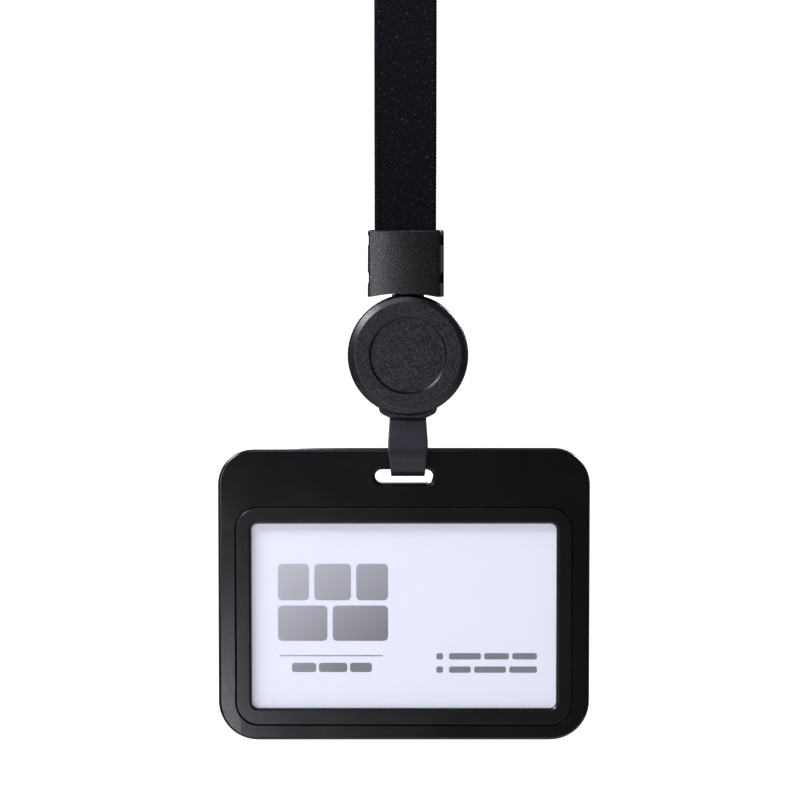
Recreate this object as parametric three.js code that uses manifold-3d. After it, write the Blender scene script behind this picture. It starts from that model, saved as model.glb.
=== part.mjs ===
// Lanyard badge holder: a woven strap loop in a two-part collar, a retractable cord reel that swivels
// under it, a soft hanger strap folded through the slot of a landscape card case, and the case with
// its inlaid bezel, clear window, printed insert and sliding back cover.
//
// Millimetres, +Z up. The front faces -Y. The origin is the inside of the strap loop's turn, which is
// what the whole thing hangs from.

import * as THREE from 'three';
import { mergeVertices } from 'three/addons/utils/BufferGeometryUtils.js';
import Module from 'manifold-3d';

// ---------------------------------------------------------------- driving dimensions

const GAP = 0.1; // between fixed pieces that lie face to face

const STRAP = { width: 16.5, thickness: 1.0, turnRadius: 9.0, centreX: -0.7 };

// The upright half of the strap's route, from its end inside the collar up to the turn: [y, z].
const STRAP_ROUTE = [
  [-0.8, -80],
  [-0.8, -74.5],
  [-1.35, -70],
  [-3.0, -64],
  [-4.8, -57.5],
  [-6.3, -50],
  [-7.4, -42],
  [-8.2, -33.5],
  [-8.7, -25],
  [-8.95, -16.5],
  [-9.0, -8.5],
];
const STRAP_TURN_STEPS = 8;
const STRAP_SAMPLES = 60;

const COLLAR = {
  width: 19.6,
  depth: 8.5,
  top: -74.0,
  bottom: -91.7,
  corner: 1.0,
  edge: 0.8, // rounding of the outer edges
  hollow: 0.9, // how far the bottom edge rises in the middle, over the reel
  centreX: -0.6,
  turn: -8, // degrees about Z that it hangs turned away from the reel
  partingY: 1.0,
};
const COLLAR_POCKET = { halfWidth: 8.65, halfDepth: 2.2, floor: -84.5 };
const STUD_CHAMBER = { halfWidth: 3.4, halfDepth: 3.0, floor: -88.7 };
const TEETH = { z: [-76.6, -79.0, -81.4], halfWidth: 7.5, tip: 1.65, root: 2.7, halfHeight: 0.3 };
const SNAP_WINDOWS = { z: [[-78.1, -75.3], [-88.2, -85.2]], inside: 9.15, halfDepth: 2.5 };
const SNAP_TABS = { inside: 8.65, outside: 9.0, front: -2.2, back: 1.7, clearance: 0.4, room: 0.2 };

const REEL = {
  radius: 16.0,
  faceRadius: 14.1,
  rimDepth: 1.6,
  halfDepth: 4.75,
  centreZ: -107.1,
  recessRadius: 10.3,
  recessDepth: 0.6,
  recessSlope: 0.5,
  boreRadius: 14.7, // inside of the shells' rim
  boreHalfDepth: 3.4,
  chinHalfDepth: 2.6,
  chinBottom: -16.7, // below the reel's centre
};
const SEAT = { halfWidth: 4.25, depth: 3 }; // the flat on top of the reel, under the collar
const POST = { radius: 1.9, socketGap: 0.15, socketWall: 0.85 };
const STEM = { radius: 1.4, head: 2.6, foot: 2.2, holeRadius: 1.75 };
const SPOOL = {
  bore: 2.05,
  hub: 3.0,
  drum: 10.3,
  drumWall: 1.0,
  flange: 13.2,
  flangeWall: 0.7,
  groove: 1.3,
  front: -2.6,
  web: -1.7,
  hubBack: 1.5,
  back: 2.9,
};
const WOUND_RADIUS = 12.4;
const EYELET = { outer: 1.6, throat: 0.8, top: -14.4 };
const CORD_RADIUS = 0.35;
const ANCHOR = { radius: 1.2, low: -126.5, high: -125.15, bevel: 0.4 };
const SPRING = { inner: 3.7, outer: 8.7, turns: 4.5, thickness: 0.35 };

// The cord's route from the drum, through the eyelet, to its anchor in the hanger: [x, z].
const CORD_ROUTE = [
  [7.0, -117.8],
  [4.4, -119.3],
  [2.0, -120.5],
  [0.55, -121.35],
  [0.05, -122.3],
  [0, -123.4],
  [0, -124.6],
  [0, -126.2],
];
const CORD_SAMPLES = 18;

const HANGER = {
  thickness: 1.15,
  foldRadius: 4.3, // inside of the fold under the header bar
  foldZ: -134.05, // centre of the fold
  top: -124.1,
  headBottom: -129.5,
  headHalfDepth: 1.9,
  slantEnd: -132.4, // where the front leg turns upright
};
// Half widths of the hanger strap down its length: [half width, z].
const HANGER_WIDTHS = [
  [4.85, -124.1],
  [5.1, -127.0],
  [5.3, -130.0],
  [5.3, -132.3],
  [4.95, -135.2],
  [4.6, -137.6],
  [4.5, -139.6],
];
const HANGER_BLANK = 12; // wider than the strap, before its outline is cut
const SNAP_Z = -127.6;
const TAIL = {
  halfWidth: 4.6,
  innerY: 3.0,
  bendLow: -132.8,
  bendHigh: -131.2,
  bottom: -133.75,
  roundZ: -128.5, // centre of its round end
  snapHole: 2.3,
};

const CASE = {
  width: 98.9,
  height: 77.9,
  halfDepth: 3.1,
  top: -132.1,
  centreX: -1.05,
  topCorner: 9.5,
  bottomCorner: 10.5,
  edge: 0.9,
};
const SLOT = { width: 15.5, height: 3.9, top: -137.5, chamfer: 0.7 };
const PANEL_Z = -176.75; // centre of the bezel, window, card and cover
const GROOVE = { width: 90.1, height: 58.8, corner: 6.3, gap: 0.3 };
const OPENING = { width: 81.2, height: 49.5, corner: 2.6 };
const POCKET = { width: 87.0, height: 55.2, corner: 3.4 };
const CARD = { width: 86.0, height: 54.0, corner: 3.2, thickness: 0.4 };
const LAYER = {
  bezelBack: -1.7,
  paneFront: -2.6,
  ledge: -1.1,
  cardFront: -1.0,
  channelFloor: 1.35,
  lip: 2.35,
};
const COVER = {
  left: -46.5,
  right: 48.6,
  halfHeight: 30.0,
  step: 1.5,
  clearance: 0.2,
  play: 0.15, // between its faces and the channel's
  back: 3.0,
};
const GRIP = { ribs: 5, pitch: 2.6, ribWidth: 1.2, length: 22, depth: 0.4, centreX: 40 };

const CORNER_SEGMENTS = 6;
const REEL_SEGMENTS = 48;
const RIM_STEPS = 3;
const SPOOL_SEGMENTS = 36;
const SMALL_SEGMENTS = 24;

// ---------------------------------------------------------------- solids

const wasm = await Module();
wasm.setup();

// A closed geometry as a solid that can be joined and cut.
function solid(geometry) {
  const bare = new THREE.BufferGeometry();
  bare.setAttribute('position', geometry.getAttribute('position'));
  bare.setIndex(geometry.getIndex());
  const merged = mergeVertices(bare, 1e-4);
  const corners = merged.getIndex().array;
  const triVerts = [];
  for (let i = 0; i < corners.length; i += 3) {
    const [a, b, c] = corners.slice(i, i + 3);
    // A lathe's triangles on its axis have collapsed to a line.
    if (a !== b && b !== c && c !== a) triVerts.push(a, b, c);
  }
  return new wasm.Manifold(new wasm.Mesh({
    numProp: 3,
    vertProperties: new Float32Array(merged.getAttribute('position').array),
    triVerts: new Uint32Array(triVerts),
  }));
}

function named(name, body, material) {
  const { vertProperties, triVerts } = body.getMesh();
  const geometry = new THREE.BufferGeometry();
  geometry.setAttribute('position', new THREE.BufferAttribute(vertProperties, 3));
  geometry.setIndex(new THREE.BufferAttribute(triVerts, 1));
  geometry.computeVertexNormals();
  const mesh = new THREE.Mesh(geometry, material);
  mesh.name = name;
  return mesh;
}

function block([x0, x1], [y0, y1], [z0, z1]) {
  const geometry = new THREE.BoxGeometry(x1 - x0, y1 - y0, z1 - z0);
  geometry.translate((x0 + x1) / 2, (y0 + y1) / 2, (z0 + z1) / 2);
  return solid(geometry);
}

// A span between two distances from the middle, on its left (-1) or its right (1).
function onSide(side, near, far) {
  return side < 0 ? [-far, -near] : [near, far];
}

// A shape drawn in X and Z, made solid from its front to its back along Y.
function plate(shape, front, back, edge = 0) {
  const geometry = new THREE.ExtrudeGeometry(shape, {
    depth: back - front - 2 * edge,
    bevelEnabled: edge > 0,
    bevelThickness: edge,
    bevelSize: edge,
    bevelOffset: -edge,
    bevelSegments: 2,
    curveSegments: CORNER_SEGMENTS,
  });
  geometry.translate(0, 0, edge);
  geometry.rotateX(Math.PI / 2);
  geometry.translate(0, back, 0);
  return solid(geometry);
}

// A side view drawn in Y and Z, made solid across X. With a lean, its width slopes along Y.
function strip(shape, width, lean = 0) {
  const geometry = new THREE.ExtrudeGeometry(shape, {
    depth: width,
    bevelEnabled: false,
    curveSegments: 4 * CORNER_SEGMENTS,
  });
  geometry.translate(0, 0, -width / 2);
  const [x, y, z] = [new THREE.Vector3(1, 0, 0), new THREE.Vector3(0, 1, 0), new THREE.Vector3(0, 0, 1)];
  geometry.applyMatrix4(new THREE.Matrix4().makeBasis(y, z, x));
  geometry.applyMatrix4(new THREE.Matrix4().makeShear(lean, 0, 0, 0, 0, 0));
  return solid(geometry);
}

// A profile of [radius, height] pairs turned about the Y axis, or about Z when upright.
function turned(profile, { segments = SMALL_SEGMENTS, upright = false, at = [0, 0, 0] } = {}) {
  const points = profile.map(([radius, height]) => new THREE.Vector2(radius, height));
  const geometry = new THREE.LatheGeometry(points, segments);
  if (upright) geometry.rotateX(Math.PI / 2);
  geometry.translate(...at);
  return solid(geometry);
}

function rod(radius, low, high, options) {
  return turned([[0, low], [radius, low], [radius, high], [0, high]], options);
}

// A ring whose profile closes on itself.
function ring(profile, options) {
  return turned([...profile, profile[0]], options);
}

function roundedRect(width, height, topCorner, { x = 0, z = 0, bottomCorner = topCorner } = {}) {
  const right = x + width / 2;
  const left = x - width / 2;
  const top = z + height / 2;
  const bottom = z - height / 2;
  const quarter = Math.PI / 2;
  const shape = new THREE.Shape();
  shape.absarc(right - topCorner, top - topCorner, topCorner, 0, quarter);
  shape.absarc(left + topCorner, top - topCorner, topCorner, quarter, 2 * quarter);
  shape.absarc(left + bottomCorner, bottom + bottomCorner, bottomCorner, 2 * quarter, 3 * quarter);
  shape.absarc(right - bottomCorner, bottom + bottomCorner, bottomCorner, 3 * quarter, 4 * quarter);
  shape.closePath();
  return shape;
}

// A band of even thickness along a route, as a closed outline.
function bandOutline(route, thickness, samples) {
  const curve = new THREE.SplineCurve(route.map(([u, v]) => new THREE.Vector2(u, v)));
  const near = [];
  const far = [];
  for (let i = 0; i <= samples; i += 1) {
    const point = curve.getPointAt(i / samples);
    const tangent = curve.getTangentAt(i / samples);
    const across = new THREE.Vector2(-tangent.y, tangent.x).multiplyScalar(thickness / 2);
    near.push(point.clone().add(across));
    far.unshift(point.clone().sub(across));
  }
  return new THREE.Shape([...near, ...far]);
}

// ---------------------------------------------------------------- materials

function plastic(color, roughness) {
  return new THREE.MeshStandardMaterial({ color, roughness, metalness: 0 });
}

const MATERIAL = {
  webbing: plastic(0x17161a, 0.8),
  collar: plastic(0x2a2a2d, 0.55),
  reel: plastic(0x232325, 0.65),
  soft: plastic(0x33363e, 0.4),
  shell: plastic(0x202024, 0.35),
  bezel: plastic(0x2a2a2e, 0.35),
  paper: plastic(0xeef0f8, 0.6),
  inner: plastic(0xd8d8d2, 0.5),
  cord: plastic(0x1b1b1d, 0.8),
  steel: new THREE.MeshStandardMaterial({ color: 0xa9abae, roughness: 0.3, metalness: 1 }),
  clear: new THREE.MeshStandardMaterial({
    color: 0xf4f7fa,
    roughness: 0.05,
    metalness: 0,
    transparent: true,
    opacity: 0.3,
  }),
};

// ---------------------------------------------------------------- strap and collar

const turnAngle = THREE.MathUtils.degToRad(COLLAR.turn);

// The strap's whole route: up the front, over the turn and down the back.
function strapRoute() {
  const route = [...STRAP_ROUTE];
  const centreZ = STRAP_ROUTE.at(-1)[1];
  for (let i = 1; i < STRAP_TURN_STEPS; i += 1) {
    const angle = Math.PI * (1 - i / STRAP_TURN_STEPS);
    route.push([STRAP.turnRadius * Math.cos(angle), centreZ + STRAP.turnRadius * Math.sin(angle)]);
  }
  for (const [y, z] of [...STRAP_ROUTE].reverse()) route.push([-y, z]);
  return route;
}

// The two strands hang in one upright plane, and the webbing's face keeps the collar's turn.
function strapWebbing() {
  const width = STRAP.width * Math.cos(turnAngle);
  const outline = bandOutline(strapRoute(), STRAP.thickness, STRAP_SAMPLES);
  const mesh = named('strap_webbing', strip(outline, width, Math.tan(turnAngle)), MATERIAL.webbing);
  mesh.position.x = STRAP.centreX;
  return mesh;
}

// The closed collar: its outer form less the strap pocket, the stud's chamber and the snap windows.
function collarBody() {
  const height = COLLAR.top - COLLAR.bottom;
  const outline = roundedRect(COLLAR.width, height, COLLAR.corner, { z: COLLAR.bottom + height / 2 });
  const half = COLLAR.width / 2 - COLLAR.corner;
  const hollowRadius = (half ** 2 + COLLAR.hollow ** 2) / (2 * COLLAR.hollow);
  const hollowTop = COLLAR.bottom + COLLAR.hollow;
  const hollow = rod(hollowRadius, -COLLAR.depth, COLLAR.depth, {
    segments: 180,
    at: [0, 0, hollowTop - hollowRadius],
  });
  const { halfWidth, halfDepth, floor } = COLLAR_POCKET;
  const pocket = block([-halfWidth, halfWidth], [-halfDepth, halfDepth], [floor, COLLAR.top + 1]);
  // The stud stands on the reel's axis, which is a little to one side of the collar's middle.
  const studX = -COLLAR.centreX;
  const chamber = block(
    [studX - STUD_CHAMBER.halfWidth, studX + STUD_CHAMBER.halfWidth],
    [-STUD_CHAMBER.halfDepth, STUD_CHAMBER.halfDepth],
    [STUD_CHAMBER.floor, floor + 0.5],
  );
  const hole = rod(STEM.holeRadius, COLLAR.bottom - 1, STUD_CHAMBER.floor + 1, {
    upright: true,
    at: [studX, 0, 0],
  });
  let body = plate(outline, -COLLAR.depth / 2, COLLAR.depth / 2, COLLAR.edge);
  body = body.subtract(hollow).subtract(pocket).subtract(chamber).subtract(hole);
  const window = SNAP_WINDOWS;
  for (const heights of window.z) {
    for (const side of [-1, 1]) {
      const across = onSide(side, window.inside, COLLAR.width / 2 + 1);
      body = body.subtract(block(across, [-window.halfDepth, window.halfDepth], heights));
    }
  }
  return body;
}

// The ridges that grip the strap, from the front shell (side -1) or the rear shell (side 1).
function collarTeeth(side) {
  const { halfWidth, tip, root, halfHeight } = TEETH;
  return TEETH.z.map((z) => {
    return block([-halfWidth, halfWidth], onSide(side, tip, root), [z - halfHeight, z + halfHeight]);
  });
}

// The rear shell's snap tabs, or the room that the front shell leaves for them.
function snapTabs(room) {
  const { inside, outside, front, back, clearance } = SNAP_TABS;
  const inset = clearance - room;
  const tabs = [];
  for (const [low, high] of SNAP_WINDOWS.z) {
    for (const side of [-1, 1]) {
      const across = onSide(side, inside - room, outside + room);
      tabs.push(block(across, [front - room, back], [low + inset, high - inset]));
    }
  }
  return tabs;
}

function collar() {
  const body = collarBody();
  const far = COLLAR.width;
  const heights = [COLLAR.bottom - 1, COLLAR.top + 1];
  let front = body.intersect(block([-far, far], [-far, COLLAR.partingY - GAP], heights));
  let rear = body.intersect(block([-far, far], [COLLAR.partingY + GAP, far], heights));
  for (const tooth of collarTeeth(-1)) front = front.add(tooth);
  for (const tooth of collarTeeth(1)) rear = rear.add(tooth);
  for (const room of snapTabs(SNAP_TABS.room)) front = front.subtract(room);
  for (const tab of snapTabs(0)) rear = rear.add(tab);
  const group = new THREE.Group();
  group.position.x = COLLAR.centreX;
  group.rotation.z = turnAngle;
  group.add(named('collar_front_shell', front, MATERIAL.collar));
  group.add(named('collar_rear_shell', rear, MATERIAL.collar));
  return group;
}

// ---------------------------------------------------------------- reel, drawn about its own centre

// The chin under the reel, where the cord leaves it.
function chinShape() {
  const shape = new THREE.Shape();
  shape.moveTo(-7.8, -12);
  shape.lineTo(-7.8, -14.0);
  shape.quadraticCurveTo(-7.6, -15.6, -4.85, REEL.chinBottom);
  shape.lineTo(4.85, REEL.chinBottom);
  shape.quadraticCurveTo(7.6, -15.6, 7.8, -14.0);
  shape.lineTo(7.8, -12);
  shape.closePath();
  return shape;
}

// What both shells share beside their discs: the chin, and the flat seat under the collar.
function reelTrim(front, back) {
  const chin = plate(chinShape(), front, back);
  const seat = block(
    [-SEAT.halfWidth, SEAT.halfWidth],
    [front, back],
    [REEL.radius - SEAT.depth, REEL.radius],
  );
  return chin.add(seat);
}

function reelOpenings() {
  const bore = rod(REEL.boreRadius, -REEL.boreHalfDepth, REEL.boreHalfDepth, { segments: REEL_SEGMENTS });
  const stemHole = rod(STEM.holeRadius, REEL.boreRadius - 1, REEL.radius + 1, { upright: true });
  const eyeletHole = rod(EYELET.outer + 0.15, REEL.chinBottom - 1, -REEL.boreRadius + 2, {
    upright: true,
  });
  return bore.add(stemHole).add(eyeletHole);
}

// The rounded rim, from the shell's parting line to its face, for a shell that faces along +Y.
function rimProfile() {
  const { radius, halfDepth, faceRadius, rimDepth } = REEL;
  const points = [[radius, GAP]];
  for (let i = 0; i <= RIM_STEPS; i += 1) {
    const angle = (Math.PI / 2) * (i / RIM_STEPS);
    const outwards = faceRadius + (radius - faceRadius) * Math.cos(angle);
    points.push([outwards, halfDepth - rimDepth * (1 - Math.sin(angle))]);
  }
  return points;
}

function reelFrontShell() {
  const { halfDepth, recessRadius, recessDepth, recessSlope, boreHalfDepth } = REEL;
  const rim = rimProfile().map(([radius, y]) => [radius, -y]).reverse();
  const disc = turned([
    [0, -halfDepth + recessDepth],
    [recessRadius - recessSlope, -halfDepth + recessDepth],
    [recessRadius, -halfDepth],
    ...rim,
    [0, -GAP],
  ], { segments: REEL_SEGMENTS });
  const inner = POST.radius + POST.socketGap;
  const outer = inner + POST.socketWall;
  const socket = ring([
    [inner, -boreHalfDepth - 0.2],
    [outer, -boreHalfDepth - 0.2],
    [outer, -boreHalfDepth + 0.6],
    [inner, -boreHalfDepth + 0.6],
  ]);
  const shell = disc.add(reelTrim(-REEL.chinHalfDepth, -GAP)).subtract(reelOpenings()).add(socket);
  return named('reel_front_shell', shell, MATERIAL.reel);
}

function reelRearShell() {
  const disc = turned([[0, GAP], ...rimProfile(), [0, REEL.halfDepth]], { segments: REEL_SEGMENTS });
  const post = rod(POST.radius, -REEL.boreHalfDepth + GAP, REEL.boreHalfDepth + 0.5);
  const shell = disc.add(reelTrim(GAP, REEL.chinHalfDepth)).subtract(reelOpenings()).add(post);
  return named('reel_rear_shell', shell, MATERIAL.reel);
}

function spool() {
  const { bore, hub, drum, flange, groove, front, web, hubBack, back } = SPOOL;
  const cup = drum - SPOOL.drumWall;
  const flangeOuter = groove + SPOOL.flangeWall;
  const body = ring([
    [bore, front],
    [drum, front],
    [drum, -flangeOuter],
    [flange, -flangeOuter],
    [flange, -groove],
    [drum, -groove],
    [drum, groove],
    [flange, groove],
    [flange, flangeOuter],
    [drum, flangeOuter],
    [drum, back],
    [cup, back],
    [cup, web],
    [hub, web],
    [hub, hubBack],
    [bore, hubBack],
  ], { segments: SPOOL_SEGMENTS });
  return named('spool', body, MATERIAL.inner);
}

function cordWound() {
  const inner = SPOOL.drum + 0.15;
  const half = SPOOL.groove - 0.15;
  const body = ring([
    [inner, -half],
    [WOUND_RADIUS - 0.3, -half],
    [WOUND_RADIUS, 0],
    [WOUND_RADIUS - 0.3, half],
    [inner, half],
  ], { segments: SPOOL_SEGMENTS });
  return named('cord_wound', body, MATERIAL.cord);
}

function spiralSpring() {
  const { inner, outer, turns, thickness } = SPRING;
  const steps = Math.round(turns * 16);
  const route = [];
  for (let i = 0; i <= steps; i += 1) {
    const angle = (2 * Math.PI * turns * i) / steps;
    const radius = inner + ((outer - inner) * i) / steps;
    route.push([radius * Math.cos(angle), radius * Math.sin(angle)]);
  }
  const body = plate(bandOutline(route, thickness, steps), SPOOL.web + 0.3, SPOOL.back - 0.3);
  return named('spiral_spring', body, MATERIAL.steel);
}

function swivelStud() {
  const { radius, foot, head } = STEM;
  const footTop = REEL.boreRadius - 0.35;
  const headLow = 18.7; // in the collar's chamber, above its floor
  const headHigh = headLow + 1.6;
  const body = turned([
    [0, footTop - 0.85],
    [foot, footTop - 0.85],
    [foot, footTop],
    [radius, footTop],
    [radius, headLow],
    [head, headLow],
    [head, headHigh - 0.6],
    [head - 0.7, headHigh],
    [0, headHigh],
  ], { upright: true });
  return named('swivel_stud', body, MATERIAL.steel);
}

function cordEyelet() {
  const { outer, throat, top } = EYELET;
  const bottom = REEL.chinBottom + GAP;
  const body = ring([
    [throat + 0.35, bottom],
    [outer, bottom],
    [outer, top],
    [outer - 0.4, top],
    [throat, top - 0.6],
    [throat, bottom + 0.5],
  ], { upright: true });
  return named('cord_eyelet', body, MATERIAL.steel);
}

function reel() {
  const group = new THREE.Group();
  group.position.z = REEL.centreZ;
  group.add(reelFrontShell(), reelRearShell(), spool(), cordWound(), spiralSpring(), swivelStud());
  group.add(cordEyelet());
  return group;
}

// ---------------------------------------------------------------- cord and hanger

function cordLead() {
  const points = CORD_ROUTE.map(([x, z]) => new THREE.Vector3(x, 0, z));
  const section = new THREE.Shape();
  section.absarc(0, 0, CORD_RADIUS, 0, 2 * Math.PI);
  const geometry = new THREE.ExtrudeGeometry(section, {
    extrudePath: new THREE.CatmullRomCurve3(points),
    steps: CORD_SAMPLES,
    curveSegments: 4,
    bevelEnabled: false,
  });
  return named('cord_lead', solid(geometry), MATERIAL.cord);
}

function cordAnchor() {
  const bore = CORD_RADIUS + GAP;
  const { radius, low, high, bevel } = ANCHOR;
  const body = ring([
    [bore, low],
    [radius - bevel, low],
    [radius, low + bevel],
    [radius, high - bevel],
    [radius - bevel, high],
    [bore, high],
  ], { upright: true });
  return named('cord_anchor', body, MATERIAL.steel);
}

// The hanger strap from the side: its head, the slanted front leg and the fold under the bar.
function hangerSide() {
  const { thickness, foldRadius, foldZ, top, headBottom, headHalfDepth, slantEnd } = HANGER;
  const outer = foldRadius + thickness;
  const shape = new THREE.Shape();
  shape.moveTo(headHalfDepth, top);
  shape.lineTo(-headHalfDepth, top);
  shape.lineTo(-outer, slantEnd);
  shape.lineTo(-outer, foldZ);
  shape.absarc(0, foldZ, outer, Math.PI, 2 * Math.PI);
  shape.lineTo(foldRadius, foldZ);
  shape.absarc(0, foldZ, foldRadius, 2 * Math.PI, Math.PI, true);
  shape.lineTo(-foldRadius, slantEnd);
  shape.lineTo(-foldRadius + 1.2, headBottom);
  shape.lineTo(headHalfDepth, headBottom);
  shape.closePath();
  return shape;
}

function hangerFront() {
  const shape = new THREE.Shape();
  const right = HANGER_WIDTHS.map(([halfWidth, z]) => new THREE.Vector2(halfWidth, z));
  const left = HANGER_WIDTHS.map(([halfWidth, z]) => new THREE.Vector2(-halfWidth, z)).reverse();
  shape.setFromPoints([...right, ...left]);
  return shape;
}

function hangerStrap() {
  const body = strip(hangerSide(), HANGER_BLANK)
    .intersect(plate(hangerFront(), -HANGER_BLANK, HANGER_BLANK))
    .subtract(rod(2 * CORD_RADIUS, ANCHOR.high, HANGER.top + 1, { upright: true }))
    .subtract(rod(ANCHOR.radius + 0.15, ANCHOR.low - 0.2, ANCHOR.high + 0.15, { upright: true }))
    .subtract(rod(0.9, 0.4, HANGER.headHalfDepth + 1, { at: [0, 0, SNAP_Z] }));
  return named('hanger_strap', body, MATERIAL.soft);
}

function snapStud() {
  const back = HANGER.headHalfDepth;
  const body = turned([
    [0, 0.5],
    [0.8, 0.5],
    [0.8, back + GAP],
    [1.9, back + GAP],
    [1.9, back + 0.4],
    [0.9, back + 0.7],
    [1.3, back + 1.2],
    [1.1, back + 1.75],
    [0, back + 1.9],
  ], { at: [0, 0, SNAP_Z] });
  return named('snap_stud', body, MATERIAL.steel);
}

// The tail from the side: upright behind the bar, then leaning in to the press stud.
function tailSide() {
  const inner = HANGER.foldRadius;
  const { thickness } = HANGER;
  const { innerY, bendLow, bendHigh, bottom } = TAIL;
  const top = TAIL.roundZ + TAIL.halfWidth + 1;
  const shape = new THREE.Shape();
  shape.moveTo(inner, bottom);
  shape.lineTo(inner + thickness, bottom);
  shape.lineTo(inner + thickness, bendLow);
  shape.lineTo(innerY + thickness, bendHigh);
  shape.lineTo(innerY + thickness, top);
  shape.lineTo(innerY, top);
  shape.lineTo(innerY, bendHigh);
  shape.lineTo(inner, bendLow);
  shape.closePath();
  return shape;
}

function tailFront() {
  const { halfWidth, bottom, roundZ } = TAIL;
  const shape = new THREE.Shape();
  shape.moveTo(-halfWidth, bottom - 1);
  shape.lineTo(halfWidth, bottom - 1);
  shape.absarc(0, roundZ, halfWidth, 0, Math.PI);
  shape.closePath();
  return shape;
}

function strapTail() {
  const body = strip(tailSide(), HANGER_BLANK)
    .intersect(plate(tailFront(), -HANGER_BLANK, HANGER_BLANK))
    .subtract(rod(TAIL.snapHole, 0, HANGER.foldRadius * 2, { at: [0, 0, SNAP_Z] }));
  return named('strap_tail', body, MATERIAL.soft);
}

function snapSocket() {
  const { innerY } = TAIL;
  const body = turned([
    [0, innerY + 1.0],
    [1.75, innerY + 1.0],
    [1.75, innerY - 0.35],
    [2.8, innerY - 0.35],
    [2.8, innerY - GAP],
    [2.15, innerY - GAP],
    [2.15, innerY + 1.15],
    [0, innerY + 1.15],
  ], { at: [0, 0, SNAP_Z] });
  return named('snap_socket', body, MATERIAL.steel);
}

function snapCap() {
  const face = TAIL.innerY + HANGER.thickness + GAP;
  const body = turned([
    [0, face],
    [3.4, face],
    [3.4, face + 0.35],
    [2.9, face + 0.7],
    [1.5, face + 0.9],
    [0, face + 0.95],
  ], { at: [0, 0, SNAP_Z] });
  return named('snap_cap', body, MATERIAL.steel);
}

// ---------------------------------------------------------------- card case, drawn about its middle

function caseOutline(inset = 0) {
  return roundedRect(CASE.width - 2 * inset, CASE.height - 2 * inset, CASE.topCorner - inset, {
    z: CASE.top - CASE.height / 2,
    bottomCorner: CASE.bottomCorner - inset,
  });
}

function panel(size, grow = 0) {
  return roundedRect(size.width + grow, size.height + grow, size.corner + grow / 2, { z: PANEL_Z });
}

// The hanger's slot: a straight slot that flares to both faces of the case.
function slotCutter() {
  const { width, height, top, chamfer } = SLOT;
  const z = top - height / 2;
  const slot = roundedRect(width, height, height / 2, { z });
  const flared = roundedRect(width + 2 * chamfer, height + 2 * chamfer, height / 2 + chamfer, { z });
  const reach = 2 * chamfer + 1;
  const half = CASE.halfDepth;
  return plate(slot, -half - 1, half + 1)
    .add(plate(flared, -half - chamfer - 1, -half + chamfer, chamfer))
    .add(plate(flared, half - chamfer, half - chamfer + reach, chamfer));
}

// The way that the back cover slides in, open at the case's right side.
function coverChannel() {
  const { left, halfHeight, step, clearance } = COVER;
  const outside = CASE.width / 2 + 2;
  const tongue = block(
    [left - clearance, outside],
    [LAYER.channelFloor, LAYER.lip],
    [PANEL_Z - halfHeight - clearance, PANEL_Z + halfHeight + clearance],
  );
  const raised = block(
    [left + step - clearance, outside],
    [LAYER.channelFloor, CASE.halfDepth + 1],
    [PANEL_Z - halfHeight + step - clearance, PANEL_Z + halfHeight - step + clearance],
  );
  return tongue.add(raised);
}

function caseFrame() {
  const front = -CASE.halfDepth;
  const body = plate(caseOutline(), front, CASE.halfDepth, CASE.edge)
    .subtract(slotCutter())
    .subtract(plate(panel(GROOVE), front - 1, LAYER.ledge))
    .subtract(plate(panel(POCKET), front - 1, CASE.halfDepth + 1))
    .subtract(coverChannel());
  return named('case_frame', body, MATERIAL.shell);
}

function frontBezel() {
  const front = -CASE.halfDepth;
  const body = plate(panel(GROOVE, -2 * GROOVE.gap), front, LAYER.bezelBack, 0.3)
    .subtract(plate(panel(OPENING), front - 1, LAYER.bezelBack + 1));
  return named('front_bezel', body, MATERIAL.bezel);
}

// The pane lies under the bezel, and its raised middle fills the bezel's opening.
function windowPane() {
  const rear = LAYER.ledge - GAP;
  const sheet = plate(panel(GROOVE, -2 * GROOVE.gap), LAYER.bezelBack + GAP, rear);
  const raised = plate(panel(OPENING, -2 * GAP), LAYER.paneFront, rear);
  return named('window', sheet.add(raised), MATERIAL.clear);
}

function insertCard() {
  const body = plate(panel(CARD), LAYER.cardFront, LAYER.cardFront + CARD.thickness);
  return named('insert_card', body, MATERIAL.paper);
}

function backCover() {
  const { left, right, halfHeight, step, play, back } = COVER;
  const tongue = block(
    [left, right],
    [LAYER.channelFloor + play, LAYER.lip - play],
    [PANEL_Z - halfHeight, PANEL_Z + halfHeight],
  );
  const raised = block(
    [left + step, right],
    [LAYER.channelFloor + play, back],
    [PANEL_Z - halfHeight + step, PANEL_Z + halfHeight - step],
  );
  // The thumb grip: a shallow field with upright ribs left standing in it.
  const { ribs, pitch, ribWidth, length, depth, centreX } = GRIP;
  const half = (ribs * pitch) / 2;
  let grip = block([centreX - half, centreX + half], [back - depth, back + 1],
    [PANEL_Z - length / 2, PANEL_Z + length / 2]);
  for (let i = 0; i < ribs; i += 1) {
    const x = centreX - half + (i + 0.5) * pitch;
    grip = grip.subtract(block([x - ribWidth / 2, x + ribWidth / 2], [back - 1, back + 2],
      [PANEL_Z - length, PANEL_Z + length]));
  }
  const body = tongue.add(raised)
    .intersect(plate(caseOutline(0.35), 0, CASE.halfDepth))
    .subtract(grip);
  return named('back_cover', body, MATERIAL.shell);
}

function cardCase() {
  const group = new THREE.Group();
  group.position.x = CASE.centreX;
  group.add(caseFrame(), frontBezel(), windowPane(), insertCard(), backCover());
  return group;
}

// ---------------------------------------------------------------- the whole holder

const group = new THREE.Group();
group.add(strapWebbing(), collar(), reel(), cordLead(), cordAnchor());
group.add(hangerStrap(), snapStud(), strapTail(), snapSocket(), snapCap(), cardCase());

export default group;
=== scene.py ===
from math import acos, atan2, copysign, cos, degrees, exp, pi, radians, sin, tan
from types import SimpleNamespace as Sizes

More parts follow.
